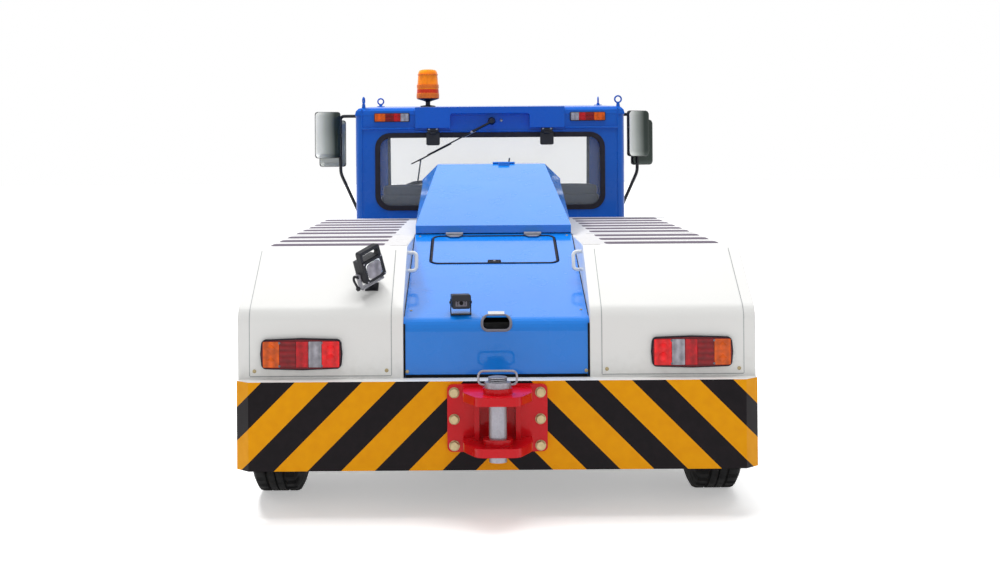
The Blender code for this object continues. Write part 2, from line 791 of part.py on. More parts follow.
def make_centre_panel():
    thick = SHEET / math.cos(SLOPE_ANGLE)
    outline = [
        (PANEL_REAR, FRAME_TOP + TOUCH),
        (PANEL_REAR + SHEET, FRAME_TOP + TOUCH),
        (PANEL_REAR + SHEET, PANEL_BEND - thick * 0.7, 0.04),
        (LIP_REAR, PANEL_TOP - thick),
        (LIP_REAR, PANEL_TOP),
        (PANEL_REAR, PANEL_BEND, 0.06),
    ]
    panel = slab("rear_centre_panel", "YZ", [outline], -CHANNEL_HALF, CHANNEL_HALF, "blue")
    near, far = HATCH_TOP_MARGIN, HATCH_TOP_MARGIN + HATCH_LENGTH
    opening = slope_block("hatch_opening", HATCH_HALF, near, far, -0.1, 0.1, corner=HATCH_ROUND)
    port_outline = [
        (-PORT_HALF, PANEL_BEND - PORT_HEIGHT / 2, 0.03),
        (PORT_HALF, PANEL_BEND - PORT_HEIGHT / 2, 0.03),
        (PORT_HALF, PANEL_BEND + PORT_HEIGHT / 2, 0.03),
        (-PORT_HALF, PANEL_BEND + PORT_HEIGHT / 2, 0.03),
    ]
    port = slab("port_opening", "XZ", [port_outline], PANEL_REAR - 0.1, PANEL_REAR + 0.25)
    cut(panel, opening, port)
    hatch = slope_block(
        "access_hatch",
        HATCH_HALF - PLAY,
        near + PLAY,
        far - PLAY,
        -SHEET,
        0.0,
        "blue",
        HATCH_ROUND - PLAY,
    )
    barrel = HINGE_BARREL
    fixed, moving = [], []
    axis = slope_point(near, barrel + HINGE_LIFT)
    for side, sign in SIDES:
        middle = sign * HATCH_HINGE_X
        for index, (start, end) in enumerate(((-0.045, -0.0185), (-0.018, 0.018), (0.0185, 0.045))):
            piece = rod(
                f"hatch_knuckle_{side}_{index}",
                (middle + start, axis.x, axis.y),
                (middle + end, axis.x, axis.y),
                barrel,
                sides=12,
            )
            leaf_near, leaf_far = (near, near + 0.03) if index == 1 else (near - 0.025, near - 0.001)
            leaf = slope_block(f"hatch_leaf_{side}_{index}", 1, leaf_near, leaf_far, -0.004, 0.006)
            leaf.data.transform(Matrix.Diagonal(((end - start) / 2, 1, 1, 1)))
            leaf.data.transform(Matrix.Translation((middle + (start + end) / 2, 0, 0)))
            (moving if index == 1 else fixed).extend([piece, leaf])
    fuse(panel, *fixed)
    fuse(hatch, *moving)
    pivot("hatch_axis", (0, axis.x, axis.y), hatch)


def hood_section(name, low_z, rear_edge, front_edge, half, drop=0.0):
    """A level length of hood, shoulders and all, between two Y values."""
    outline = [
        (-half, low_z),
        (half, low_z),
        (half, HOOD_SHOULDER - drop),
        (HOOD_TOP_HALF - drop, HOOD_TOP - drop),
        (drop - HOOD_TOP_HALF, HOOD_TOP - drop),
        (-half, HOOD_SHOULDER - drop),
    ]
    return slab(name, "XZ", [outline], rear_edge, front_edge, None)


def make_cowl():
    rear, front = HOOD_FRONT + PLAY, CAB_REAR - COWL_END_GAP
    outer = hood_section("engine_cowl", DECK_TOP - 0.04, rear, front, CHANNEL_HALF)
    helpers.objects.unlink(outer)
    parts.objects.link(outer)
    outer.hide_render = False
    outer.display_type = "TEXTURED"
    outer.data.materials.append(paints["blue"])
    hollow = hood_section(
        "cowl_hollow", DECK_TOP - 0.2, rear - 0.1, front - SHEET, CHANNEL_HALF - SHEET, SHEET
    )
    cut(outer, hollow)
    return outer


def make_hood_lid():
    rear, front = LIP_REAR, HOOD_FRONT - PLAY
    half = BOX_INNER - PLAY
    bottom = DECK_TOP + PLAY
    lid_outline = [
        (rear, PANEL_TOP + PLAY),
        (rear + 0.05, bottom),
        (front, bottom),
        (front, HOOD_TOP),
        (rear, LIP_TOP),
    ]
    lid = slab("hood_lid", "YZ", [lid_outline], -half, half, "blue")
    # Each side of the sloping top is cut off by a plane through the lip's corner and the front shoulder
    for side, sign in SIDES:
        lip = Vector((sign * half, rear, LIP_TOP))
        shoulder = Vector((sign * half, HOOD_FRONT, HOOD_SHOULDER))
        top = Vector((sign * HOOD_TOP_HALF, HOOD_FRONT, HOOD_TOP))
        normal = (shoulder - lip).cross(top - lip).normalized()
        if normal.z < 0:
            normal.negate()
        shape = bmesh.new()
        shape.from_mesh(lid.data)
        everything = shape.verts[:] + shape.edges[:] + shape.faces[:]
        cut_edges = bmesh.ops.bisect_plane(
            shape, geom=everything, plane_co=lip, plane_no=normal, clear_outer=True
        )
        rim = [piece for piece in cut_edges["geom_cut"] if isinstance(piece, bmesh.types.BMEdge)]
        bmesh.ops.contextual_create(shape, geom=rim)
        bmesh.ops.recalc_face_normals(shape, faces=shape.faces)
        shape.to_mesh(lid.data)
        shape.free()
    rise = (HOOD_TOP - LIP_TOP) / HOOD_SLOPE
    hollow_outline = [
        (rear + SHEET, bottom - 0.1),
        (front - SHEET, bottom - 0.1),
        (front - SHEET, HOOD_TOP - 0.10 - rise * SHEET),
        (rear + SHEET, LIP_TOP - 0.012),
    ]
    hollow = slab("lid_hollow", "YZ", [hollow_outline], SHEET - half, half - SHEET)
    cut(lid, hollow)
    return lid


def make_hood_hinge(lid, cowl):
    """One low hinge at the lid's top edge, a little to the right of the middle."""
    barrel = HOOD_BARREL
    axis = (HOOD_FRONT, HOOD_TOP + barrel + HINGE_LIFT)
    fixed, moving = [], []
    for index, (start, end) in enumerate(((-0.066, -0.0335), (-0.033, 0.033), (0.0335, 0.066))):
        low, high = HOOD_HINGE_X + start, HOOD_HINGE_X + end
        knuckle = rod(f"hood_knuckle_{index}", (low, *axis), (high, *axis), barrel, sides=12)
        if index == 1:
            rear, front, bottom = HOOD_FRONT - 0.04, HOOD_FRONT, HOOD_TOP - 0.016
            chosen = moving
        else:
            rear, front, bottom = HOOD_FRONT, HOOD_FRONT + 0.03, HOOD_TOP - 0.004
            chosen = fixed
        leaf = box(f"hood_leaf_{index}", (low, rear, bottom), (high, front, HOOD_TOP + 0.004))
        chosen += [knuckle, leaf]
    fuse(cowl, *fixed)
    fuse(lid, *moving)
    pivot("hood_axis", (0, *axis), lid)


# --- Cab -------------------------------------------------------------------


def screen_face(height):
    """Y of the windscreen frame's outer face at a height."""
    share = (height - FENDER_TOP) / (ROOF_UNDER - FENDER_TOP)
    return CAB_FRONT - SCREEN_RAKE * share


def make_cab_floor():
    rear = CAB_REAR + CAB_WALL + 0.01 + TOUCH
    wide = CAB_HALF - CAB_WALL - 0.007
    front = FRAME_REAR_EDGE - 0.01
    end = FRONT_AXLE - 0.03
    outline = [
        (-wide, rear),
        (wide, rear),
        (wide, front),
        (FOOTWELL_HALF, front),
        (FOOTWELL_HALF, end),
        (-FOOTWELL_HALF, end),
        (-FOOTWELL_HALF, front),
        (-wide, front),
    ]
    slab("cab_floor", "XY", [outline], FRAME_TOP + TOUCH, FLOOR_TOP, "deck")


def make_rear_wall():
    inner = CAB_HALF - CAB_WALL
    back = CAB_REAR + CAB_WALL + 0.01
    edge = CAB_REAR + REAR_RETURN
    outline = [
        (-CAB_HALF, CAB_REAR, CAB_CORNER),
        (CAB_HALF, CAB_REAR, CAB_CORNER),
        (CAB_HALF, edge),
        (inner, edge),
        (inner, back),
        (-inner, back),
        (-inner, edge),
        (-CAB_HALF, edge),
    ]
    wall = slab("cab_rear_wall", "XY", [outline], FRAME_TOP + TOUCH, ROOF_UNDER - TOUCH, "blue")
    window = [
        (-REAR_WINDOW_HALF, REAR_WINDOW_SILL, WINDOW_ROUND),
        (REAR_WINDOW_HALF, REAR_WINDOW_SILL, WINDOW_ROUND),
        (REAR_WINDOW_HALF, REAR_WINDOW_TOP, WINDOW_ROUND),
        (-REAR_WINDOW_HALF, REAR_WINDOW_TOP, WINDOW_ROUND),
    ]
    cut(wall, slab("rear_window_opening", "XZ", [window], CAB_REAR - 0.1, back + 0.1))
    middle = CAB_REAR + 0.02
    slab("rear_window", "XZ", [inset(window, TOUCH)], middle, middle + GLASS, "glass")


def make_roof():
    front = screen_face(ROOF_UNDER) + 0.03
    outline = [
        (CAB_REAR, ROOF_UNDER),
        (front, ROOF_UNDER),
        (front, ROOF_FRONT_TOP),
        (CAB_REAR, ROOF_REAR_TOP),
    ]
    roof = slab("cab_roof", "YZ", [outline], -CAB_HALF, CAB_HALF, "blue")
    upright = ROOF_UNDER + 0.02
    round_edges(roof, lambda point: point.z > upright, ROOF_ROUND)


def make_front_frame():
    low, high = FENDER_TOP + TOUCH, ROOF_UNDER - TOUCH
    outline = [
        (FRAME_REAR_EDGE, low),
        (screen_face(low), low),
        (screen_face(high), high),
        (FRAME_REAR_EDGE, high),
    ]
    frame = slab("cab_front_frame", "YZ", [outline], -CAB_HALF, CAB_HALF, "blue")
    round_edges(frame, lambda point: point.y > FRAME_REAR_EDGE + 0.2, 0.04)
    below, above = low - 0.1, high + 0.1
    inside = [
        (FRAME_REAR_EDGE - 0.1, below),
        (screen_face(below) - CAB_WALL, below),
        (screen_face(above) - CAB_WALL, above),
        (FRAME_REAR_EDGE - 0.1, above),
    ]
    hollow = slab("front_frame_hollow", "YZ", [inside], CAB_WALL - CAB_HALF, CAB_HALF - CAB_WALL)
    screen = box(
        "screen_opening",
        (-SCREEN_HALF, FRONT_AXLE - 0.2, WINDOW_SILL),
        (SCREEN_HALF, CAB_FRONT + 0.1, SCREEN_TOP),
    )
    pillar = CAB_WALL + 0.045
    quarter = [
        (FRAME_REAR_EDGE + 0.06, WINDOW_SILL, 0.03),
        (screen_face(WINDOW_SILL) - pillar, WINDOW_SILL, 0.03),
        (screen_face(SCREEN_TOP) - pillar, SCREEN_TOP - 0.02, 0.03),
        (FRAME_REAR_EDGE + 0.06, SCREEN_TOP - 0.02, 0.03),
    ]
    quarters = slab("quarter_openings", "YZ", [quarter], -CAB_HALF - 0.1, CAB_HALF + 0.1)
    cut(frame, hollow, screen, quarters)
    sill, head = WINDOW_SILL + TOUCH, SCREEN_TOP - TOUCH
    depth = 0.03
    pane = [
        (screen_face(sill) - depth, sill),
        (screen_face(sill) - depth + GLASS, sill),
        (screen_face(head) - depth + GLASS, head),
        (screen_face(head) - depth, head),
    ]
    slab("windshield", "YZ", [pane], TOUCH - SCREEN_HALF, SCREEN_HALF - TOUCH, "glass")
    for side, sign in SIDES:
        pane_low, pane_high = across(sign, CAB_HALF - 0.028, CAB_HALF - 0.028 + GLASS)
        slab("quarter_glass_" + side, "YZ", [inset(quarter, TOUCH)], pane_low, pane_high, "glass")
    return frame


def make_door(side, sign, frame):
    outline = [
        (DOOR_REAR, DOOR_BOTTOM, 0.03),
        (DOOR_FRONT, DOOR_BOTTOM, 0.03),
        (DOOR_FRONT, ROOF_UNDER - DOOR_GAP, 0.03),
        (DOOR_REAR, ROOF_UNDER - DOOR_GAP, 0.03),
    ]
    margin = 0.07
    window = [
        (DOOR_REAR + margin, WINDOW_SILL, 0.05),
        (DOOR_FRONT - margin, WINDOW_SILL, 0.05),
        (DOOR_FRONT - margin, SCREEN_TOP - 0.02, 0.05),
        (DOOR_REAR + margin, SCREEN_TOP - 0.02, 0.05),
    ]
    low, high = across(sign, CAB_HALF - CAB_WALL, CAB_HALF)
    door = slab("door_" + side, "YZ", [outline, window], low, high, "blue")
    low, high = across(sign, CAB_HALF - 0.028, CAB_HALF - 0.028 + GLASS)
    glass = slab("door_glass_" + side, "YZ", [inset(window, TOUCH)], low, high, "glass")
    barrel = HINGE_BARREL
    axis = (sign * (CAB_HALF + barrel + HINGE_LIFT), DOOR_FRONT + DOOR_GAP / 2)
    fixed, moving = [], []
    for level, height in (("lower", 1.09), ("upper", 1.74)):
        for index, (start, end) in enumerate(((-0.05, -0.0205), (-0.02, 0.02), (0.0205, 0.05))):
            low_z, high_z = height + start, height + end
            knuckle = rod(
                f"door_knuckle_{side}_{level}_{index}",
                (*axis, low_z),
                (*axis, high_z),
                barrel,
                sides=12,
            )
            low, high = across(sign, CAB_HALF - 0.004, CAB_HALF + barrel * 0.8)
            if index == 1:
                rear, front = axis[1] - 0.04, axis[1]
            else:
                rear, front = axis[1], axis[1] + 0.04
            leaf = box(
                f"door_leaf_{side}_{level}_{index}", (low, rear, low_z), (high, front, high_z)
            )
            (moving if index == 1 else fixed).extend([knuckle, leaf])
    fuse(door, *moving)
    fuse(frame, *fixed)
    pivot("door_axis_" + side, (*axis, 1.2), door, glass)


def make_seat(side, sign):
    low, high = across(sign, 0.25, 0.75)
    rear = CAB_REAR + 0.12
    base_top = FLOOR_TOP + 0.20
    pedestal = box(
        "seat_" + side,
        (low + 0.06, rear + 0.10, FLOOR_TOP + TOUCH),
        (high - 0.06, rear + 0.48, base_top + 0.01),
        "seat",
    )
    cushion = box("seat_cushion_" + side, (low, rear + 0.04, base_top), (high, rear + 0.54, base_top + 0.12))
    round_edges(cushion, lambda point: True, 0.03, 2)
    back = box("seat_back_" + side, (low, rear, base_top + 0.06), (high, rear + 0.13, 1.378))
    round_edges(back, lambda point: True, 0.04, 2)
    fuse(pedestal, cushion, back)


def make_dashboard():
    top = FENDER_TOP + TOUCH
    front = screen_face(WINDOW_SILL) - CAB_WALL - 0.02
    outline = [
        (DASH_REAR, top),
        (front, top),
        (front, 1.14),
        (front - 0.24, 1.19, 0.03),
        (DASH_REAR, 1.12, 0.02),
    ]
    half = CAB_HALF - CAB_WALL - 0.01
    slab("dashboard", "YZ", [outline], -half, half, "black")


def make_steering_wheel():
    centre = Vector((-0.50, 1.42, 1.20))
    angle = math.radians(60)
    tilt = Matrix.Rotation(angle, 4, "X")
    radius, grip, column = 0.20, 0.014, 0.022
    reach = DASH_REAR - TOUCH - centre.y - column * math.cos(angle)
    length = reach / math.sin(angle)
    route = [
        (radius * math.cos(2 * math.pi * step / 24), radius * math.sin(2 * math.pi * step / 24), 0)
        for step in range(24)
    ]
    wheel = tube("steering_wheel", route, grip, "black", closed=True)
    spokes = [
        box("steering_spoke_cross", (-radius, -0.016, -0.006), (radius, 0.016, 0.006)),
        box("steering_spoke_down", (-0.016, -radius, -0.006), (0.016, 0.0, 0.006)),
        rod("steering_boss", (0, 0, -0.03), (0, 0, 0.02), 0.045),
        rod("steering_column", (0, 0, -length), (0, 0, 0), column, sides=16),
    ]
    for piece in [wheel, *spokes]:
        piece.data.transform(Matrix.Translation(centre) @ tilt)
    fuse(wheel, *spokes)


# --- Front body, steps and fittings ----------------------------------------


def make_front_body():
    front = BODY_FRONT - TOUCH
    bulkhead = FRONT_AXLE - 0.02
    nose = [
        (bulkhead, FRAME_TOP + TOUCH),
        (front, FRAME_TOP + TOUCH),
        (front, FENDER_TOP, 0.08),
        (bulkhead, FENDER_TOP),
    ]
    inner = WELL_INNER - FENDER_SHEET
    body = slab("front_body", "YZ", [nose], -inner - 0.01, inner + 0.01, "white")
    fenders, cutters = [], []
    for side, sign in SIDES:
        low, high = across(sign, inner, HALF_WIDTH)
        outline = [
            (FRAME_REAR_EDGE, BOX_BOTTOM),
            (front, BOX_BOTTOM),
            (front, FENDER_TOP, 0.08),
            (FRAME_REAR_EDGE, FENDER_TOP),
        ]
        fender = slab("fender_" + side, "YZ", [outline], low, high)
        outer = HALF_WIDTH - 0.001
        round_edges(fender, lambda point: abs(point.x) > outer and point.z > 0.9, BOX_EDGE_ROUND)
        fenders.append(fender)
        rear_wall = FRAME_REAR_EDGE + 0.02
        front_wall = FRONT_AXLE + WELL_FRONT
        skin = HALF_WIDTH - FENDER_SHEET
        low, high = across(sign, WELL_INNER, skin)
        cutters.append(
            box("well_" + side, (low, rear_wall, BOX_BOTTOM - 0.1), (high, front_wall, WELL_TOP))
        )
        low, high = across(sign, inner - 0.02, skin)
        cutters.append(
            box(
                "well_low_" + side,
                (low, FRAME_REAR_EDGE - 0.05, BOX_BOTTOM - 0.1),
                (high, front_wall, WELL_LOW_TOP),
            )
        )
        radius = WHEEL_RADIUS + ARCH_GAP
        arch = [(FRONT_AXLE - radius, BOX_BOTTOM - 0.1), (FRONT_AXLE + radius, BOX_BOTTOM - 0.1)]
        for step in range(17):
            angle = math.pi * step / 16
            arch.append(
                (FRONT_AXLE + radius * math.cos(angle), WHEEL_RADIUS + radius * math.sin(angle))
            )
        low, high = across(sign, skin - 0.02, HALF_WIDTH + 0.1)
        cutters.append(slab("front_arch_" + side, "YZ", [arch], low, high))
    # Below the nose the two inner wheel-well sides are open down to the frame
    fuse(body, *fenders)
    cut(body, *cutters)


def make_step(side, sign):
    rear, front = CAB_REAR + TOUCH, FRAME_REAR_EDGE - 0.02
    outline = [
        (BOX_INNER, BOX_BOTTOM),
        (HALF_WIDTH - 0.02, BOX_BOTTOM),
        (HALF_WIDTH - 0.02, 0.40),
        (CAB_HALF + 0.02, 0.40),
        (CAB_HALF + 0.02, FRAME_TOP),
        (BOX_INNER, FRAME_TOP),
    ]
    if sign < 0:
        outline = [(-x, z) for x, z in reversed(outline)]
    slab("step_" + side, "XZ", [outline], rear, front, "white")


def make_tail_lamp(side, sign):
    middle, half_width, half_height, level = sign * 0.866, 0.182, 0.071, 0.71
    outline = [
        (middle - half_width, level - half_height, 0.03),
        (middle + half_width, level - half_height, 0.03),
        (middle + half_width, level + half_height, 0.03),
        (middle - half_width, level + half_height, 0.03),
    ]
    slab("tail_lamp_" + side, "XZ", [outline], BODY_REAR - 0.03, BODY_REAR, "lens")


def make_headlight(side, sign):
    middle, half_width, half_height, level = sign * 0.84, 0.15, 0.09, 0.80
    outline = [
        (middle - half_width, level - half_height, 0.03),
        (middle + half_width, level - half_height, 0.03),
        (middle + half_width, level + half_height, 0.03),
        (middle - half_width, level + half_height, 0.03),
    ]
    slab("headlight_" + side, "XZ", [outline], BODY_FRONT, BODY_FRONT + 0.03, "clear")


def make_beacon():
    centre_y = CAB_REAR + 0.26
    share = (centre_y - CAB_REAR) / (screen_face(ROOF_UNDER) + 0.03 - CAB_REAR)
    seat = ROOF_REAR_TOP + (ROOF_FRONT_TOP - ROOF_REAR_TOP) * share + BEACON_LIFT
    profile = [
        (0.0, 0.255),
        (0.045, 0.250),
        (0.064, 0.228),
        (0.0775, 0.090),
        (0.0775, 0.056),
        (0.030, 0.046),
        (0.030, 0.012),
        (0.055, 0.010),
        (0.055, 0.0),
        (0.0, 0.0),
    ]
    turned("beacon", profile, (-0.42, centre_y, seat), (0, 0, 1), "beacon", 32, closed=False)


def make_mirror(side, sign, heads):
    """A bent tube from the roof's side down to the door sill, with two mirror heads on it."""
    wall = CAB_HALF + TOUCH
    top, knee, foot = ROOF_UNDER + 0.025, 1.44, 1.085
    route = [
        (sign * wall, MIRROR_Y, top),
        (sign * MIRROR_REACH, MIRROR_Y, top),
        (sign * MIRROR_REACH, MIRROR_Y, knee),
        (sign * (CAB_HALF + 0.05), MIRROR_Y, foot),
        (sign * wall, MIRROR_Y, foot),
    ]
    bracket = tube("mirror_" + side, bend(route, 0.03), MIRROR_TUBE, "black")
    joined = []
    for name, middle, level, width, height, ahead, yaw in heads:
        half = Vector((width / 2, 0.022, height / 2))
        head = box(f"mirror_{side}_{name}", -half, half)
        round_edges(head, lambda point: True, 0.018, 2)
        turn = Matrix.Rotation(math.radians(yaw), 4, "Z")
        head.data.transform(Matrix.Translation((middle, MIRROR_Y + ahead, level)) @ turn)
        joined.append(head)
        reach = sign * MIRROR_REACH
        joined.append(
            rod(
                f"mirror_{side}_{name}_stalk",
                (reach, MIRROR_Y, level),
                (reach, MIRROR_Y + ahead, level),
                0.012,
                sides=12,
            )
        )
    fuse(bracket, *joined)


# Mirror heads: name, middle X, middle Z, width, height, distance ahead of the tube, yaw in degrees
LEFT_HEADS = (
    ("main", -1.198, 1.725, 0.19, 0.345, -0.045, 8),
    ("second", -1.170, 1.662, 0.20, 0.349, 0.045, 8),
)
RIGHT_HEADS = (
    ("main", 1.106, 1.722, 0.18, 0.340, -0.055, 28),
    ("second", 1.145, 1.657, 0.18, 0.340, 0.055, 28),
)


def make_work_light():
    """A square lamp with a carrying handle, in a bracket on the left box's slope."""
    slope = math.atan2(DECK_TOP - BOX_BEND, BOX_SLOPE_LENGTH)
    along = 0.155
    foot = Vector((-0.563, BODY_REAR + along, BOX_BEND + along * math.tan(slope)))
    on_slope = Matrix.Translation(foot) @ Matrix.Rotation(slope, 4, "X")
    turned_in = on_slope @ Matrix.Rotation(math.radians(46), 4, "Z")
    aimed = turned_in @ Matrix.Translation((0, 0, 0.022)) @ Matrix.Rotation(math.radians(-16), 4, "X")
    half, arm = 0.0585, 0.006
    base = box("work_light", (-0.03, -0.03, TOUCH), (0.03, 0.03, 0.006), "black")
    base.data.transform(on_slope)
    stud = rod("work_light_stud", (0, 0, 0.004), (0, 0, 0.026), 0.012, sides=16)
    stud.data.transform(turned_in)
    bracket_outline = [
        (-half - arm, 0.0),
        (half + arm, 0.0),
        (half + arm, 0.075),
        (half + 0.001, 0.075),
        (half + 0.001, arm),
        (-half - 0.001, arm),
        (-half - 0.001, 0.075),
        (-half - arm, 0.075),
    ]
    bracket = slab("work_light_bracket", "XZ", [bracket_outline], -0.014, 0.014)
    bolt = rod("work_light_bolt", (-half - 0.009, 0, 0.06), (half + 0.009, 0, 0.06), 0.006, sides=12)
    frame_outline = [
        (-half, 0.030, 0.008),
        (half, 0.030, 0.008),
        (half, 0.183, 0.010),
        (-half, 0.183, 0.010),
    ]
    handle_hole = [
        (-0.046, 0.138, 0.012),
        (0.046, 0.138, 0.012),
        (0.046, 0.168, 0.006),
        (-0.046, 0.168, 0.006),
    ]
    front = slab("work_light_front", "XZ", [frame_outline, handle_hole], -0.045, -0.015)
    back = box("work_light_back", (-0.053, -0.016, 0.035), (0.053, 0.040, 0.132))
    round_edges(back, lambda point: point.y > 0, 0.020, 3)
    for piece in (bracket, bolt, front, back):
        piece.data.transform(aimed)
    fuse(base, stud, bracket, bolt, back, front)


make_frame()
make_engine()
for end_name, direction in ENDS:
    make_bumper(end_name, direction)
    make_hitch(end_name, direction)
make_rear_axle()
make_front_axle()
for side_name, side_sign in SIDES:
    make_wheel("rear", side_name, side_sign, REAR_AXLE)
    make_wheel("front", side_name, side_sign, FRONT_AXLE)
    make_knuckle(side_name, side_sign)
    make_side_box(side_name, side_sign)
make_tie_rod()
make_centre_panel()
make_hood_hinge(make_hood_lid(), make_cowl())
make_cab_floor()
make_rear_wall()
make_roof()
front_frame = make_front_frame()
make_front_body()
make_dashboard()
make_steering_wheel()
make_beacon()
make_work_light()
for side_name, side_sign in SIDES:
    make_door(side_name, side_sign, front_frame)
    make_seat(side_name, side_sign)
    make_step(side_name, side_sign)
    make_tail_lamp(side_name, side_sign)
    make_headlight(side_name, side_sign)
make_mirror("left", -1, LEFT_HEADS)
make_mirror("right", 1, RIGHT_HEADS)
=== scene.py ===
"""Looks for the aircraft pushback tractor, in metres, +Y forward, +X right, +Z up."""

import math

import bmesh
import bpy
from mathutils import Matrix, Vector


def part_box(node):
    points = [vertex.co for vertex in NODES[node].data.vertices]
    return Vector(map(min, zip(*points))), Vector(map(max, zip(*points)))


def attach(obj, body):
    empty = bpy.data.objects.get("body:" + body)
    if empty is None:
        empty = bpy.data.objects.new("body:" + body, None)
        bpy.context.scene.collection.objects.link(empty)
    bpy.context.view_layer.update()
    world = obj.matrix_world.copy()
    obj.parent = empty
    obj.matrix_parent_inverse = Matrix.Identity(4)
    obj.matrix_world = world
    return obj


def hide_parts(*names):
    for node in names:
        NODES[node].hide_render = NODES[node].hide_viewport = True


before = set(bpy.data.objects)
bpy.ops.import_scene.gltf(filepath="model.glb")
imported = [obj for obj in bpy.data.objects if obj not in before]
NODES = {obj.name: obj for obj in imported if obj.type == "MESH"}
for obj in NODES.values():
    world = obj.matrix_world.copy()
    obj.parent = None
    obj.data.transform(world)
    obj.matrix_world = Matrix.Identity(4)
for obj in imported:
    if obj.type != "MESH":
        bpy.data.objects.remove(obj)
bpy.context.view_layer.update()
SIDES = (("left", -1), ("right", 1))
ENDS = (("rear", -1), ("front", 1))
GROUND = 0.0
BOXES = {node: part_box(node) for node in NODES}
REAR_FACE = BOXES["rear_bumper"][0].y
BODY_REAR = BOXES["rear_bumper"][1].y
BODY_FRONT = BOXES["front_bumper"][0].y
BUMPER_TOP = BOXES["rear_bumper"][1].z
DECK_TOP = BOXES["deck_left"][1].z
BOX_INNER = BOXES["side_box_right"][0].x
BOX_OUTER = BOXES["side_box_right"][1].x
PANEL_HALF = BOXES["rear_centre_panel"][1].x
PANEL_REAR = BOXES["rear_centre_panel"][0].y
CAB_REAR = BOXES["cab_rear_wall"][0].y
CAB_HALF = BOXES["cab_rear_wall"][1].x
FACE_LIFT = 0.0004  # a thin layer over the surface that carries it


# --- Materials ---------------------------------------------------------------


class Nodes:
    """Short names for building a material's node tree."""

    def __init__(self, name):
        self.material = bpy.data.materials.new(name)
        self.material.use_nodes = True
        self.tree = self.material.node_tree
        self.shader = self.tree.nodes["Principled BSDF"]
        self.object = self.add("TexCoord").outputs["Object"]

    def add(self, kind, inputs=(), **settings):
        node = self.tree.nodes.new("ShaderNode" + kind)
        for key, value in settings.items():
            setattr(node, key, value)
        for key, value in dict(inputs).items():
            self.put(node.inputs[key], value)
        return node

    def put(self, socket, value):
        if isinstance(value, bpy.types.NodeSocket):
            self.tree.links.new(value, socket)
        else:
            socket.default_value = value

    def math(self, operation, first, second=0.0):
        return self.add("Math", {0: first, 1: second}, operation=operation).outputs[0]

    def noise(self, scale, detail=3.0, vector=None):
        inputs = {"Vector": vector or self.object, "Scale": scale, "Detail": detail}
        return self.add("TexNoise", inputs).outputs["Fac"]

    def between(self, value, low, high, to_low, to_high):
        """A value mapped from one range to another."""
        inputs = {
            "Value": value,
            "From Min": low,
            "From Max": high,
            "To Min": to_low,
            "To Max": to_high,
        }
        return self.add("MapRange", inputs).outputs[0]

    def mix(self, share, first, second):
        node = self.add("Mix", data_type="RGBA")
        self.put(node.inputs["Factor"], share)
        self.put(node.inputs["A"], first)
        self.put(node.inputs["B"], second)
        return node.outputs["Result"]

    def bump(self, height, strength, distance=0.001, edge=0.0):
        """Surface relief, over edges that are rounded where edge is a radius."""
        inputs = {"Height": height, "Strength": strength, "Distance": distance}
        if edge:
            inputs["Normal"] = self.add("Bevel", {"Radius": edge}, samples=6).outputs[0]
        self.put(self.shader.inputs["Normal"], self.add("Bump", inputs).outputs[0])

    def set(self, **values):
        for key, value in values.items():
            self.put(self.shader.inputs[key.replace("_", " ")], value)
        return self


def rgb(red, green, blue):
    """A screen colour, 0 to 255, as the shader's linear colour."""

    def linear(value):
        value /= 255
        return value / 12.92 if value <= 0.04045 else ((value + 0.055) / 1.055) ** 2.4

    return (linear(red), linear(green), linear(blue), 1.0)


def darker(colour, share):
    return tuple(channel * share for channel in colour[:3]) + (1.0,)


def paint(name, colour, roughness=0.3, coat=0.4, spread=0.05, peel=0.02, dirt=0.0):
    """Sprayed paint: orange peel, faint colour drift, and dust low down."""
    n = Nodes(name)
    drift = n.between(n.noise(1.7, 4.0), 0.3, 0.7, 0.0, 1.0)
    shown = n.mix(drift, darker(colour, 1 - spread), darker(colour, 1 + spread))
    if dirt:
        level = n.add("SeparateXYZ", {0: n.object}).outputs["Z"]
        low = n.between(level, 0.25, 0.75, 1.0, 0.0)
        speckle = n.between(n.noise(26.0, 7.0), 0.45, 0.75, 0.0, dirt)
        shown = n.mix(n.math("MULTIPLY", low, speckle), shown, rgb(126, 118, 104))
    n.put(n.shader.inputs["Base Color"], shown)
    n.put(
        n.shader.inputs["Roughness"],
        n.between(n.noise(9.0, 5.0), 0.3, 0.7, roughness * 0.8, roughness * 1.25),
    )
    n.set(Coat_Weight=coat, Coat_Roughness=0.06, Coat_IOR=1.32, Specular_IOR_Level=0.1)
    n.bump(n.noise(260.0, 1.0), peel, edge=0.004)
    return n.material


def plain(name, colour, roughness=0.5, metallic=0.0, grain=60.0, depth=0.05, edge=0.0, **more):
    """Moulded, cast or machined stuff: a fine grain in colour, gloss and surface."""
    n = Nodes(name)
    tone = n.between(n.noise(grain, 4.0), 0.3, 0.7, 0.0, 1.0)
    n.put(n.shader.inputs["Base Color"], n.mix(tone, darker(colour, 0.9), darker(colour, 1.1)))
    n.put(
        n.shader.inputs["Roughness"],
        n.between(n.noise(grain / 3, 4.0), 0.3, 0.7, roughness * 0.85, min(roughness * 1.2, 1.0)),
    )
    n.set(Metallic=metallic, Specular_IOR_Level=0.25, **more)
    n.bump(n.noise(grain * 6, 2.0), depth, edge=edge)
    return n.material


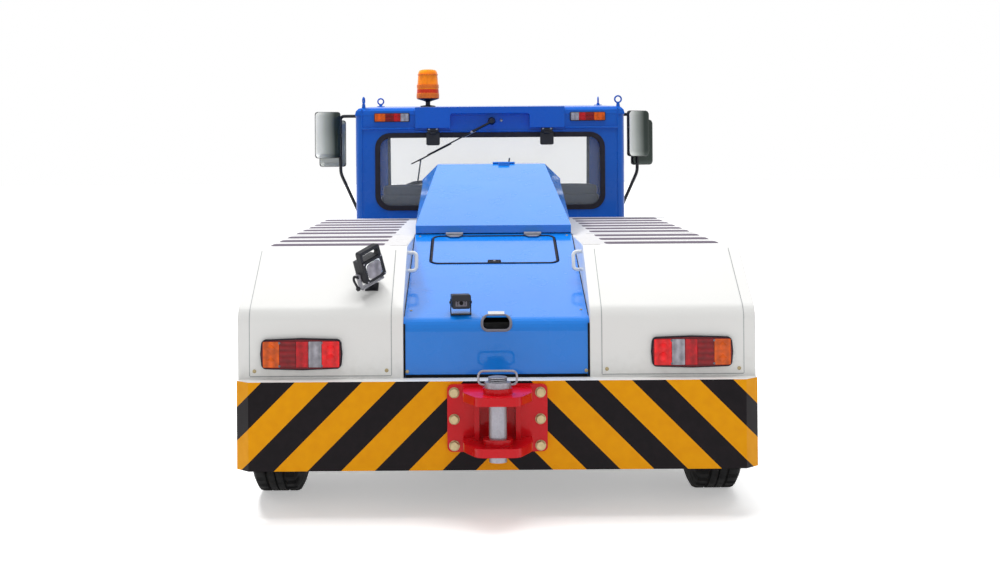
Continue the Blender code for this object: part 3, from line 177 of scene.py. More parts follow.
def lens(name, colour, glow=0.0, pitch=0.006, across="X"):
    """Ribbed, tinted lamp plastic, with a painted glow: glow makes the unlit lens give off light in its own
    colour.
    """
    n = Nodes(name)
    wave = n.add(
        "TexWave",
        {"Vector": n.object, "Scale": 1 / (pitch * 20), "Distortion": 0.0},
        bands_direction=across,
    ).outputs["Fac"]
    patch = n.between(n.noise(34.0, 2.0), 0.35, 0.65, 0.72, 1.12)
    ribbed = n.mix(wave, darker(colour, 0.7), colour)
    shown = n.add("VectorMath", {0: ribbed, "Scale": patch}, operation="SCALE").outputs["Vector"]
    n.put(n.shader.inputs["Base Color"], shown)
    n.put(n.shader.inputs["Roughness"], n.between(n.noise(60.0, 2.0), 0.3, 0.7, 0.08, 0.16))
    n.set(Coat_Weight=0.3, Coat_IOR=1.35, Specular_IOR_Level=0.15)
    # Painted glow: emission in the lens colour, though the lamp is not lit.
    n.set(Emission_Color=colour, Emission_Strength=glow)
    n.bump(wave, 0.25, 0.002)
    return n.material


def stripes(name, top, width):
    """Amber and black chevrons that point up in the middle, on a bumper with a white top."""
    n = Nodes(name)
    split = n.add("SeparateXYZ", {0: n.object})
    depth = n.math("SUBTRACT", top, split.outputs["Z"])
    shifted = n.math("SUBTRACT", n.math("ABSOLUTE", split.outputs["X"]), depth)
    share = n.math("FLOORED_MODULO", n.math("DIVIDE", shifted, 2 * width), 1.0)
    is_black = n.math("LESS_THAN", share, 0.5)
    worn = n.between(n.noise(22.0, 6.0), 0.35, 0.75, 0.0, 1.0)
    amber = n.mix(worn, rgb(236, 160, 10), rgb(230, 152, 14))
    black = n.mix(worn, rgb(20, 16, 19), rgb(30, 25, 28))
    striped = n.mix(is_black, amber, black)
    up = n.add("SeparateXYZ", {0: n.add("NewGeometry").outputs["Normal"]}).outputs["Z"]
    is_top = n.math("GREATER_THAN", up, 0.7)
    n.put(n.shader.inputs["Base Color"], n.mix(is_top, striped, rgb(243, 243, 241)))
    n.put(n.shader.inputs["Roughness"], n.between(worn, 0.0, 1.0, 0.34, 0.5))
    n.set(Specular_IOR_Level=0.08)
    n.bump(n.noise(240.0, 1.0), 0.02, edge=0.003)
    return n.material


def glass(name, tint, alpha):
    n = Nodes(name)
    n.put(n.shader.inputs["Roughness"], n.between(n.noise(4.0, 3.0), 0.3, 0.7, 0.02, 0.05))
    n.set(Base_Color=tint, Alpha=alpha)
    return n.material


def painted_reflection_mirror(name, low_x, high_x):
    """A mirror with a painted reflection: its colour runs from pale on one side to dark on the other."""
    n = Nodes(name)
    along = n.between(n.add("SeparateXYZ", {0: n.object}).outputs["X"], low_x, high_x, 0.0, 1.0)
    wavy = n.math("ADD", along, n.between(n.noise(2.5, 2.0), 0.3, 0.7, -0.03, 0.03))
    # Painted reflection: base colour from near white through grey to dark green-black along X.
    ramp = n.add("ValToRGB", {"Fac": wavy})
    stops = ramp.color_ramp.elements
    stops[0].position = 0.0
    stops[0].color = rgb(232, 234, 232)
    stops[1].position = 0.85
    stops[1].color = rgb(44, 54, 50)
    middle = stops.new(0.45)
    middle.color = rgb(150, 156, 152)
    n.put(n.shader.inputs["Base Color"], ramp.outputs["Color"])
    n.set(Metallic=0.35, Roughness=0.12, Specular_IOR_Level=0.3)
    return n.material


def cloth(name, colour):
    """Woven seat cloth: two crossed waves of thread."""
    n = Nodes(name)
    weave = {"Vector": n.object, "Scale": 60.0, "Distortion": 0.6}
    warp = n.add("TexWave", weave, bands_direction="X").outputs["Fac"]
    weft = n.add("TexWave", weave, bands_direction="Z").outputs["Fac"]
    thread = n.math("MULTIPLY", warp, weft)
    tone = n.between(n.noise(7.0, 5.0), 0.3, 0.7, 0.0, 0.6)
    fade = n.mix(tone, colour, darker(colour, 1.25))
    n.put(n.shader.inputs["Base Color"], n.mix(thread, darker(colour, 0.75), fade))
    n.put(n.shader.inputs["Roughness"], n.between(thread, 0.0, 1.0, 0.95, 0.8))
    n.set(Sheen_Weight=0.25, Sheen_Roughness=0.5)
    n.bump(thread, 0.35, 0.0015)
    return n.material


BLUE = rgb(14, 124, 222)
CAB_BLUE = rgb(8, 88, 186)
WHITE = rgb(236, 236, 234)

MATERIALS = {
    "blue": paint("hood blue paint", BLUE, 0.24, 1.0),
    "cab_blue": paint("cab blue paint", CAB_BLUE, 0.28, 0.5),
    "white": paint("white paint", WHITE, 0.36, 0.25, 0.012, dirt=0.35),
    "red": paint("hitch red paint", rgb(206, 8, 24), 0.3, 0.35),
    "black_paint": paint("black frame paint", rgb(30, 30, 32), 0.45, 0.2, 0.15, dirt=0.5),
    "plastic": plain("black plastic", rgb(34, 35, 40), 0.42, grain=90.0, edge=0.003),
    "rubber": plain("black rubber", rgb(34, 32, 40), 0.7, grain=120.0, depth=0.1),
    # Black for the camera lens and gauge faces, and painted shade in the panel gaps, the port's hollow, the
    # rim holes and behind the grille.
    "gap": plain("black, and painted shade", rgb(10, 10, 11), 0.9, grain=90.0),
    "seam": plain("seam shadow", rgb(172, 174, 176), 0.8, grain=90.0),
    "trim": plain("grey trim", rgb(118, 116, 126), 0.5, grain=120.0, depth=0.08),
    "tyre": plain("tyre rubber", rgb(14, 14, 15), 0.82, grain=70.0, depth=0.15),
    "steel": plain("bright steel", rgb(150, 150, 158), 0.4, 0.55, 140.0, 0.03),
    "zinc": plain("yellow zinc", rgb(176, 160, 122), 0.4, 0.6, 90.0, 0.05),
    "cast": plain("cast iron", rgb(70, 70, 72), 0.6, 0.6, 50.0, 0.2),
    "deck_light": plain("pale deck metal", rgb(206, 205, 206), 0.5, 0.1, 110.0, 0.08),
    "deck_dark": plain("anti-slip strip", rgb(98, 90, 102), 0.85, 0.0, 420.0, 0.5),
    "mat": plain("rubber mat", rgb(48, 48, 50), 0.9, 0.0, 160.0, 0.4),
    "seat": cloth("seat cloth", rgb(74, 78, 88)),
    "chrome": plain("mirror shell", rgb(215, 218, 218), 0.1, 1.0, 20.0, 0.01),
    "amber_lens": lens("amber lens", rgb(226, 92, 10), 0.1),
    "dome_lens": lens("beacon amber", rgb(246, 132, 12), 0.32, 0.012, "Z"),
    "orange_base": plain("orange plastic", rgb(242, 118, 36), 0.3, grain=90.0),
    "red_band": plain("red plastic", rgb(226, 56, 22), 0.25, grain=90.0),
    "red_lens": lens("red lens", rgb(198, 12, 26), 0.05),
    "bright_lens": lens("round red lens", rgb(232, 22, 28), 0.2),
    "dark_red_lens": lens("reflector", rgb(142, 10, 22), 0.02, 0.004, "Z"),
    "lamp_body": plain("lamp body", rgb(98, 12, 22), 0.3, grain=90.0),
    "clear_lens": lens("clear lens", rgb(170, 168, 178), 0.02, 0.005),
    "glass": glass("cab glass", rgb(236, 244, 246), 0.08),
    "stripes": stripes("striped paint", BUMPER_TOP, 0.1475),
}

CAD_FINISH = {
    "blue": ("hood_lid", "engine_cowl", "rear_centre_panel", "access_hatch"),
    "cab_blue": ("cab_roof", "cab_rear_wall", "cab_front_frame", "door_left", "door_right"),
    "white": (
        "front_body",
        "side_box_left",
        "side_box_right",
        "step_left",
        "step_right",
        "front_left_rim",
        "front_right_rim",
        "rear_left_rim",
        "rear_right_rim",
    ),
    "stripes": ("rear_bumper", "front_bumper"),
    "red": ("rear_hitch", "front_hitch"),
    "black_paint": (
        "chassis_frame",
        "rear_axle",
        "front_axle",
        "knuckle_left",
        "knuckle_right",
        "tie_rod",
    ),
    "plastic": ("dashboard", "steering_wheel", "mirror_left", "mirror_right", "work_light"),
    "deck_light": ("deck_left", "deck_right"),
    "mat": ("cab_floor",),
    "tyre": ("rear_left_tyre", "rear_right_tyre", "front_left_tyre", "front_right_tyre"),
    "steel": ("rear_pin", "front_pin"),
    "cast": ("engine_block",),
    "seat": ("seat_left", "seat_right"),
    "glass": (
        "rear_window",
        "windshield",
        "quarter_glass_left",
        "quarter_glass_right",
        "door_glass_left",
        "door_glass_right",
    ),
    "red_lens": ("tail_lamp_left", "tail_lamp_right"),
    "clear_lens": ("headlight_left", "headlight_right"),
    "amber_lens": ("beacon",),
}
for finish, nodes in CAD_FINISH.items():
    for node in nodes:
        piece = NODES[node]
        for slot in piece.material_slots:
            slot.material = MATERIALS[finish]


# --- Shapes --------------------------------------------------------------------

# An outline's own x, y and the direction of its thickness, in world axes
ACROSS = Matrix(((1, 0, 0, 0), (0, 0, 1, 0), (0, 1, 0, 0), (0, 0, 0, 1)))  # X, Z, thick along Y
LENGTHWAYS = Matrix(((0, 0, 1, 0), (1, 0, 0, 0), (0, 1, 0, 0), (0, 0, 0, 1)))  # Y, Z, thick along X
FLAT = Matrix.Identity(4)


def rounded(corners, steps=6):
    """The outline's points; a corner is (x, y) or (x, y, radius)."""
    points = []
    for index, corner in enumerate(corners):
        here = Vector(corner[:2])
        radius = corner[2] if len(corner) > 2 else 0
        if not radius:
            points.append(here)
            continue
        before = (Vector(corners[index - 1][:2]) - here).normalized()
        after = (Vector(corners[(index + 1) % len(corners)][:2]) - here).normalized()
        half = before.angle(after) / 2
        centre = here + (before + after).normalized() * radius / math.sin(half)
        start = here + before * radius / math.tan(half) - centre
        turn = start.angle_signed(here + after * radius / math.tan(half) - centre)
        for step in range(steps + 1):
            points.append(centre + Matrix.Rotation(-turn * step / steps, 2) @ start)
    return points


def rectangle(low_x, low_y, high_x, high_y, radius=0.0):
    corners = ((low_x, low_y), (high_x, low_y), (high_x, high_y), (low_x, high_y))
    return rounded([(*corner, radius) for corner in corners])


class Shape:
    """A mesh put together from simple bodies, which becomes one piece."""

    def __init__(self):
        self.mesh = bmesh.new()

    def moved(self, verts, place):
        bmesh.ops.transform(self.mesh, matrix=place, verts=verts)
        return self

    def box(self, low, high, place=FLAT, bevel=0.0):
        low, high = Vector(low), Vector(high)
        size = Matrix.Diagonal((*(high - low), 1))
        made = bmesh.ops.create_cube(self.mesh, size=1, matrix=Matrix.Translation((low + high) / 2) @ size)
        verts = made["verts"]
        if bevel:
            edges = list({edge for vert in verts for edge in vert.link_edges})
            made = bmesh.ops.bevel(
                self.mesh, geom=edges, offset=bevel, segments=2, profile=0.5, affect="EDGES"
            )
            new = {vert for face in made["faces"] for vert in face.verts}
            verts = list(new | {vert for vert in verts if vert.is_valid})
        return self.moved(verts, place)

    def rod(self, start, end, radius, end_radius=None, sides=20, place=FLAT):
        start, end = Vector(start), Vector(end)
        along = end - start
        turn = along.to_track_quat("Z", "Y").to_matrix().to_4x4()
        made = bmesh.ops.create_cone(
            self.mesh,
            cap_ends=True,
            segments=sides,
            radius1=radius,
            radius2=radius if end_radius is None else end_radius,
            depth=along.length,
            matrix=Matrix.Translation((start + end) / 2) @ turn,
        )
        return self.moved(made["verts"], place)

    def loft(self, rings, place=FLAT, closed=False, capped=True):
        """Rings of as many points each, joined one to the next."""
        rows = [[self.mesh.verts.new(point) for point in ring] for ring in rings]
        count = len(rows[0])
        pairs = list(zip(rows, rows[1:] + rows[:1] if closed else rows[1:]))
        for first, second in pairs:
            for index in range(count):
                after = (index + 1) % count
                self.mesh.faces.new((first[index], first[after], second[after], second[index]))
        if capped and not closed:
            self.mesh.faces.new(rows[0][::-1])
            self.mesh.faces.new(rows[-1])
        return self.moved([vert for row in rows for vert in row], place)

    def plate(self, outline, start, end, place=FLAT):
        """A flat outline with thickness from start to end."""
        rings = [[(x, y, level) for x, y in outline] for level in (start, end)]
        return self.loft(rings, place)

    def ring(self, outer, inner, start, end, place=FLAT):
        """A flat frame between two outlines of as many points."""
        rings = [
            [(x, y, level) for x, y in outline]
            for outline, level in ((outer, start), (outer, end), (inner, end), (inner, start))
        ]
        return self.loft(rings, place, closed=True)

    def lathe(self, profile, place=FLAT, sides=40):
        """(radius, height) points turned about local Z."""
        rings = []
        for radius, height in profile:
            radius = max(radius, 0.00002)
            angles = [2 * math.pi * k / sides for k in range(sides)]
            rings.append([(radius * math.cos(a), radius * math.sin(a), height) for a in angles])
        return self.loft(rings, place)

    def tube(self, route, radius, sides=10, closed=False, place=FLAT):
        """A round bar along a route."""
        route = [Vector(point) for point in route]
        count = len(route)
        rings = []
        side = None
        for index, point in enumerate(route):
            before = route[index - 1] if index or closed else point
            after = route[(index + 1) % count] if index < count - 1 or closed else point
            along = (after - before).normalized()
            if side is None:
                side = along.orthogonal().normalized()
            side = (side - along * side.dot(along)).normalized()
            other = along.cross(side)
            angles = [2 * math.pi * k / sides for k in range(sides)]
            rings.append([point + side * radius * math.cos(a) + other * radius * math.sin(a) for a in angles])
        return self.loft(rings, place, closed=closed)

    def made(self, name, finish, body="chassis", bevel=0.0, replaces=None, smooth=35):
        bmesh.ops.recalc_face_normals(self.mesh, faces=self.mesh.faces)
        mesh = bpy.data.meshes.new(name)
        self.mesh.to_mesh(mesh)
        self.mesh.free()
        for face in mesh.polygons:
            face.use_smooth = True
        mesh.set_sharp_from_angle(angle=math.radians(smooth))
        mesh.materials.append(MATERIALS[finish])
        piece = bpy.data.objects.new(name, mesh)
        bpy.context.scene.collection.objects.link(piece)
        if bevel:
            step = piece.modifiers.new("edges", "BEVEL")
            step.width = bevel
            step.segments = 2
            step.limit_method = "ANGLE"
            step.angle_limit = math.radians(40)
            step.use_clamp_overlap = True
        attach(piece, body)
        if replaces:
            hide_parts(replaces)
        return piece


def turn(axis, degrees):
    return Matrix.Rotation(math.radians(degrees), 4, axis)


def at(x, y, z):
    return Matrix.Translation((x, y, z))


# --- Rear of the side boxes and the decks ----------------------------------------

COVER_LIFT = 0.003
COVER_INNER, COVER_OUTER = 0.469, 1.096
SLOPE_FOOT = (BODY_REAR, 0.894)  # where the rear face bends into the slope
SLOPE_HEAD = (BODY_REAR + 0.43, DECK_TOP)
SLOPE = (SLOPE_HEAD[1] - SLOPE_FOOT[1]) / (SLOPE_HEAD[0] - SLOPE_FOOT[0])
COVER_BOTTOM = 0.612


def cover_path(lift):
    """The rear face, the bend and the slope of a side box, seen from the side, moved out by lift."""
    foot, head = Vector(SLOPE_FOOT), Vector(SLOPE_HEAD)
    along = (head - foot).normalized()
    normal = Vector((-along.y, along.x))
    back = Vector((-1, 0))
    bend = foot + (back + normal) * lift / (1 + back.dot(normal))
    bottom = (BODY_REAR - lift, COVER_BOTTOM)
    top = head - along * 0.03 + normal * lift
    corners = [bottom, (*bend, 0.08 + lift), top]
    before_bend = rounded([(bottom[0], bottom[1] - 1), (*bend, 0.08 + lift), (*(top + along), 0)], 10)[1:-1]
    return [Vector(corners[0]), *before_bend, Vector(corners[-1])]


def make_cover(side, sign):
    """The cover plate over a side box's rear, grey strips painted as the shadow in its edge seams, and its
    screws.
    """
    outer, inner = cover_path(COVER_LIFT), cover_path(-0.001)
    outline = [*outer, *reversed(inner)]
    cover = Shape()
    cover.plate(outline, sign * COVER_INNER, sign * COVER_OUTER, LENGTHWAYS)
    cover.made("cover_" + side, "white", bevel=0.001)
    # Painted shadow: grey strips in the seams at the cover's sides and bottom edge.
    line = [*cover_path(0.0008), *reversed(cover_path(-0.001))]
    seams = Shape()
    for x in (COVER_INNER, COVER_OUTER):
        seams.plate(line, sign * (x - 0.0035), sign * (x + 0.0035), LENGTHWAYS)
    low, high = sorted((sign * COVER_INNER, sign * COVER_OUTER))
    seams.box((low, BODY_REAR - 0.001, COVER_BOTTOM - 0.004), (high, BODY_REAR + 0.001, COVER_BOTTOM))
    seams.made("cover_seam_shadows_" + side, "seam")
    screws = Shape()
    for x in (COVER_INNER + 0.02, COVER_OUTER - 0.02):
        add_screw(screws, (sign * x, BODY_REAR - COVER_LIFT, 0.634), (0, -1, 0), 0.0085)
    screws.made("cover_screws_" + side, "zinc")


def add_screw(shape, point, outward, radius):
    """A low domed head with a cross recess's rim."""
    place = at(*point) @ Vector(outward).to_track_quat("Z", "Y").to_matrix().to_4x4()
    low = radius * 0.25
    profile = [(0, -0.0005), (radius, -0.0005), (radius, low), (radius * 0.8, low * 1.8)]
    profile += [(radius * 0.35, low * 2.2), (radius * 0.3, low * 1.5), (0, low * 1.5)]
    shape.lathe(profile, place, 14)


STRIP_HALF = 0.076
STRIP_SETS = ((0.684, 0.308, 3), (1.674, 0.2952, 6))  # first centre ahead of the bumper face, pitch, count
DECK_SEAM = 1.482
WALKWAY_JOINTS = (0.55, 1.02, DECK_SEAM, 2.05, 2.72, 3.37)


def make_deck(side, sign):
    """Dark anti-slip strips across the deck, and the plates of the walkway inside it."""
    strips = Shape()
    low, high = sorted((sign * 0.532, sign * 1.074))
    for first, pitch, count in STRIP_SETS:
        for index in range(count):
            y = REAR_FACE + first + pitch * index
            outline = rectangle(low, y - STRIP_HALF, high, y + STRIP_HALF, 0.03)
            strips.plate(outline, DECK_TOP - 0.001, DECK_TOP + 0.0012)
    strips.made("deck_strips_" + side, "deck_dark")
    walkway = Shape()
    low, high = sorted((sign * (BOX_INNER + 0.004), sign * 0.4975))
    for start, end in zip(WALKWAY_JOINTS, WALKWAY_JOINTS[1:]):
        corner = (low, REAR_FACE + start + 0.004, DECK_TOP - 0.001)
        walkway.box(corner, (high, REAR_FACE + end - 0.004, DECK_TOP + 0.0025))
    walkway.made("walkway_" + side, "deck_light", bevel=0.001)
    # Painted shadow: a grey strip in the joint between the deck plates.
    seam = Shape()
    y = REAR_FACE + DECK_SEAM
    low, high = sorted((sign * (BOX_INNER + 0.002), sign * 1.08))
    seam.box((low, y - 0.003, DECK_TOP - 0.001), (high, y + 0.003, DECK_TOP + 0.0008))
    seam.made("deck_seam_shadow_" + side, "seam")
    loop = Shape()
    wall = sign * (BOX_INNER + 0.004)
    out = sign * (BOX_INNER - 0.040)
    y = REAR_FACE + 0.62
    corners = [(wall, y, 1.120), (out, y, 1.118), (out, y - 0.035, 1.035), (wall, y - 0.035, 1.037)]
    loop.tube(softened(corners, 0.02), 0.009)
    loop.made("tie_loop_" + side, "white")


def softened(route, radius, steps=6):
    """A route in space with its inner corners rounded."""
    points = [Vector(route[0])]
    for before, here, after in zip(route, route[1:], route[2:]):
        here = Vector(here)
        to_before = (Vector(before) - here).normalized()
        to_after = (Vector(after) - here).normalized()
        for step in range(steps + 1):
            share = step / steps
            first = here + to_before * radius * (1 - share)
            second = here + to_after * radius * share
            points.append(first.lerp(second, share))
    points.append(Vector(route[-1]))
    return points


# --- Tail lamps and work light -----------------------------------------------------

LAMP_X, LAMP_Z = 0.866, 0.71
LAMP_HALF, LAMP_HEIGHT = 0.182, 0.071
# finish, share of the lamp's width, from the outer end inward
LAMP_CELLS = (
    ("amber_lens", 0.218),
    ("dark_red_lens", 0.214),
    ("red_lens", 0.164),
    ("clear_lens", 0.172),
    ("bright_lens", 0.232),
)


def bowed(half_width, half_height, bow, radius, middle_x=0.0, middle_z=0.0):
    """A rectangle whose four sides swell a little."""
    w, h = half_width, half_height
    corners = [
        (-w + bow, -h + bow, radius),
        (0, -h),
        (w - bow, -h + bow, radius),
        (w, 0),
        (w - bow, h - bow, radius),
        (0, h),
        (-w + bow, h - bow, radius),
        (-w, 0),
    ]
    return [Vector((x + middle_x, y + middle_z)) for x, y in rounded(corners)]


def make_tail_lamp(side, sign):
    middle = sign * LAMP_X
    back = BODY_REAR - FACE_LIFT
    housing = Shape()
    outline = bowed(LAMP_HALF, LAMP_HEIGHT, 0.006, 0.022, middle, LAMP_Z)
    housing.plate(outline, back - 0.020, back, ACROSS)
    housing.made("tail_lamp_case_" + side, "rubber", bevel=0.003, replaces="tail_lamp_" + side)
    body = Shape()
    outline = bowed(LAMP_HALF - 0.006, LAMP_HEIGHT - 0.005, 0.006, 0.019, middle, LAMP_Z)
    body.plate(outline, back - 0.024, back - 0.019, ACROSS)
    body.made("tail_lamp_body_" + side, "lamp_body", bevel=0.0015)
    usable = 2 * (LAMP_HALF - 0.012)
    edge = LAMP_HALF - 0.012
    front, half = back - 0.027, LAMP_HEIGHT - 0.014
    for finish, share in LAMP_CELLS:
        width = usable * share
        low, high = sorted((middle + sign * edge, middle + sign * (edge - width)))
        cell = Shape()
        outline = rectangle(low + 0.001, LAMP_Z - half, high - 0.001, LAMP_Z + half, 0.004)
        cell.plate(outline, front, back - 0.023, ACROSS)
        centre = (low + high) / 2
        if finish == "amber_lens":
            facet = [(0.022, -0.001), (0.016, 0.0018), (0, 0.0025)]
            for level in (-half / 2, half / 2):
                cell.lathe(facet, facing(centre, front, LAMP_Z + level), 4)
        if finish == "bright_lens":
            dome = [(0.021, -0.001), (0.019, 0.0012), (0.012, 0.0026), (0, 0.0030)]
            for level in (-0.021, 0.021):
                cell.lathe(dome, facing(centre, front, LAMP_Z + level), 32)
        cell.made(f"tail_lamp_{finish}_{side}", finish, bevel=0.001)
        edge -= width
    screws = Shape()
    for share in (0.218, 0.77):
        for level in (-1, 1):
            x = middle + sign * (LAMP_HALF - 0.012 - usable * share)
            add_screw(screws, (x, front, LAMP_Z + level * (half - 0.006)), (0, -1, 0), 0.005)
    screws.made("tail_lamp_screws_" + side, "trim")


def facing(x, y, z):
    """Local Z points back, out of the tractor's rear."""
    return at(x, y, z) @ turn("X", 90)


def make_work_light():
    """The work light's lens, bezel, screws and side lever, in the lamp's own tilted axes."""
    foot = Vector((-0.563, BODY_REAR + 0.155, SLOPE_FOOT[1] + 0.155 * SLOPE))
    aimed = at(*foot) @ turn("X", math.degrees(math.atan(SLOPE))) @ turn("Z", 46)
    aimed = aimed @ at(0, 0, 0.022) @ turn("X", -16)
    low, high, front = 0.036, 0.128, -0.045
    reflector = Shape()
    outline = rectangle(-0.047, low + 0.004, 0.047, high - 0.002, 0.016)
    reflector.plate(outline, front - 0.0015, front, aimed @ ACROSS)
    reflector.made("work_light_reflector", "chrome")
    glass_face = Shape()
    outline = rectangle(-0.040, low + 0.008, 0.040, high - 0.010, 0.022)
    glass_face.plate(outline, front - 0.004, front - 0.0014, aimed @ ACROSS)
    glass_face.made("work_light_lens", "clear_lens", bevel=0.001)
    bezel = Shape()
    outer = rectangle(-0.0575, low - 0.004, 0.0575, high + 0.006, 0.008)
    inner = rectangle(-0.044, low + 0.006, 0.044, high - 0.006, 0.014)
    bezel.ring(outer, inner, front - 0.006, front, aimed @ ACROSS)
    bezel.made("work_light_bezel", "plastic", bevel=0.0015)
    screws = Shape()
    for x in (-0.051, 0.051):
        for z in (low + 0.003, high):
            spot = aimed @ Vector((x, front - 0.006, z))
            outward = aimed.to_3x3() @ Vector((0, -1, 0))
            add_screw(screws, spot, outward, 0.0042)
    screws.made("work_light_screws", "steel")
    lever = Shape()
    route = [(-0.066, 0.0, 0.060), (-0.082, 0.004, 0.075), (-0.092, 0.0, 0.060), (-0.088, -0.012, 0.022)]
    lever.tube(softened(route, 0.008), 0.0055, place=aimed)
    lever.lathe(
        [(0, -0.011), (0.008, -0.008), (0.011, 0), (0.008, 0.008), (0, 0.011)],
        aimed @ at(-0.088, -0.013, 0.018),
        16,
    )
    lever.made("work_light_lever", "plastic")
    arms = Shape()
    for x in (-1, 1):
        near, far = sorted((x * 0.0592, x * 0.0652))
        arms.box((near, -0.0145, -0.0006), (far, 0.0145, 0.0756), aimed)
    arms.box((-0.0652, -0.0145, -0.0008), (0.0652, 0.0145, 0.0066), aimed)
    arms.made("work_light_bracket", "steel", bevel=0.001)


# --- Blue centre panel, hatch and hood -----------------------------------------------

PANEL_BEND = 0.849
LIP_REAR = BOXES["hood_lid"][0].y
PANEL_RISE = (1.166 - PANEL_BEND) / (LIP_REAR - PANEL_REAR)
PANEL_ANGLE = math.degrees(math.atan(PANEL_RISE))
ON_PANEL = at(0, LIP_REAR, 1.166) @ turn("X", PANEL_ANGLE)  # the slope's own axes, from its top edge
HATCH_HALF, HATCH_NEAR, HATCH_FAR, HATCH_ROUND = 0.32, 0.035, 0.485, 0.045
HATCH_HINGE_X = 0.205


def panel_point(y):
    """The height of the centre panel's slope at a place along the tractor."""
    return PANEL_BEND + (y - PANEL_REAR) * PANEL_RISE


def make_hatch():
    outline = rectangle(-HATCH_HALF, -HATCH_FAR, HATCH_HALF, -HATCH_NEAR, HATCH_ROUND)
    inside = rectangle(
        -HATCH_HALF + 0.011, -HATCH_FAR + 0.011, HATCH_HALF - 0.011, -HATCH_NEAR - 0.011, HATCH_ROUND - 0.011
    )
    seal = Shape()
    seal.ring(outline, inside, -0.002, 0.004, ON_PANEL)
    seal.made("hatch_seal", "rubber", "access_hatch", bevel=0.0015)
    leaves, fixed = Shape(), Shape()
    axis = ON_PANEL @ Vector((0, -0.03, 0.010))
    for x in (-HATCH_HINGE_X, HATCH_HINGE_X):
        leaf = [(x - 0.041, -0.043), (x - 0.022, -0.068, 0.008)]
        leaf += [(x + 0.022, -0.068, 0.008), (x + 0.041, -0.043)]
        leaves.plate(rounded(leaf), 0.006, 0.0085, ON_PANEL)
        leaves.rod((x - 0.018, axis.y, axis.z), (x + 0.018, axis.y, axis.z), 0.0096)
        for offset in (-0.024, 0.024):
            spot = ON_PANEL @ Vector((x + offset, -0.052, 0.0085))
            add_screw(leaves, spot, ON_PANEL.to_3x3() @ Vector((0, 0, 1)), 0.0045)
        for start, end in ((-0.045, -0.0185), (0.0185, 0.045)):
            fixed.rod((x + start, axis.y, axis.z), (x + end, axis.y, axis.z), 0.0096)
        fixed.box((x - 0.045, -0.018, 0.0055), (x + 0.045, -0.002, 0.0075), ON_PANEL)
    leaves.made("hatch_hinge_leaves", "steel", "access_hatch", bevel=0.0008)
    fixed.made("hatch_hinge_bases", "steel", bevel=0.0008)
    case, paddle = Shape(), Shape()
    outer = rectangle(-0.033, -0.470, 0.033, -0.440, 0.004)
    inner = rectangle(-0.026, -0.464, 0.026, -0.447, 0.003)
    case.ring(outer, inner, -0.001, 0.006, ON_PANEL)
    case.made("hatch_latch_frame", "rubber", "access_hatch", bevel=0.001)
    paddle.plate(rectangle(-0.026, -0.464, 0.026, -0.447, 0.003), -0.001, 0.002, ON_PANEL)
    paddle.lathe([(0.007, 0.0), (0.007, 0.005), (0.004, 0.007), (0, 0.007)], ON_PANEL @ at(0, -0.455, 0), 16)
    paddle.made("hatch_latch", "steel", "access_hatch", bevel=0.0008)


def panel_face(z):
    """How far back the centre panel's outer face is at a height, round its bend."""
    bend_start, bend_end = PANEL_BEND - 0.046, PANEL_BEND + 0.012
    if z <= bend_start:
        return PANEL_REAR
    top = PANEL_REAR + (bend_end - PANEL_BEND) / PANEL_RISE
    if z >= bend_end:
        return PANEL_REAR + (z - PANEL_BEND) / PANEL_RISE
    share = (z - bend_start) / (bend_end - bend_start)
    return PANEL_REAR + (top - PANEL_REAR) * share**2.6


def make_panel_details():
    # Painted shade: dark strips in the gaps at the panel's sides, bottom edge and slope edges.
    gaps = Shape()
    for sign in (-1, 1):
        low, high = sorted((sign * (PANEL_HALF - 0.009), sign * (PANEL_HALF - 0.0005)))
        gaps.box((low, PANEL_REAR - 0.0015, 0.602), (high, PANEL_REAR + 0.002, 0.838))
        near = ON_PANEL.inverted() @ Vector((0, PANEL_REAR + 0.06, panel_point(PANEL_REAR + 0.06)))
        inner, outer = sorted((sign * (PANEL_HALF - 0.0035), sign * (PANEL_HALF - 0.0003)))
        gaps.box((inner, near.y, -0.001), (outer, -0.005, 0.0012), ON_PANEL)
    across = PANEL_HALF - 0.01
    gaps.box((-across, PANEL_REAR - 0.0015, 0.6005), (across, PANEL_REAR + 0.002, 0.612))
    gaps.made("panel_gap_shade", "gap")
    rim = Shape()
    outline = rectangle(-0.0645, PANEL_BEND - 0.0425, 0.0645, PANEL_BEND + 0.017, 0.026)
    rim.tube([(x, panel_face(z) - 0.001, z) for x, z in outline], 0.0062, closed=True)
    rim.made("port_rim", "trim")
    # Painted shade: dark boxes inside the port's hollow.
    throat = Shape()
    throat.box((-0.0605, PANEL_REAR + 0.012, 0.811), (0.0605, PANEL_REAR + 0.03, 0.838))
    throat.box((-0.070, -1.245, -0.042), (0.070, -1.06, -0.034), ON_PANEL)
    throat.made("port_throat_shade", "gap")
    patch = Shape()
    patch.plate(rectangle(-0.069, -1.217, 0.069, -1.088, 0.02), -0.005, 0.0008, ON_PANEL)
    patch.made("port_surround", "blue")
    plate = Shape()
    spot = -1.152
    plate.plate(rectangle(-0.037, spot - 0.052, 0.037, spot, 0.003), -0.0005, 0.0015, ON_PANEL)
    plate.made("blank_plate", "deck_light", bevel=0.0005)
    screws = Shape()
    up = ON_PANEL.to_3x3() @ Vector((0, 0, 1))
    for sign in (-1, 1):
        for y in (-1.595, -2.10, -2.66):
            add_screw(screws, (sign * 0.385, y, panel_point(y)), up, 0.0062)
        add_screw(screws, (sign * 0.398, PANEL_REAR, 0.626), (0, -1, 0), 0.008)
    screws.made("panel_screws", "zinc")


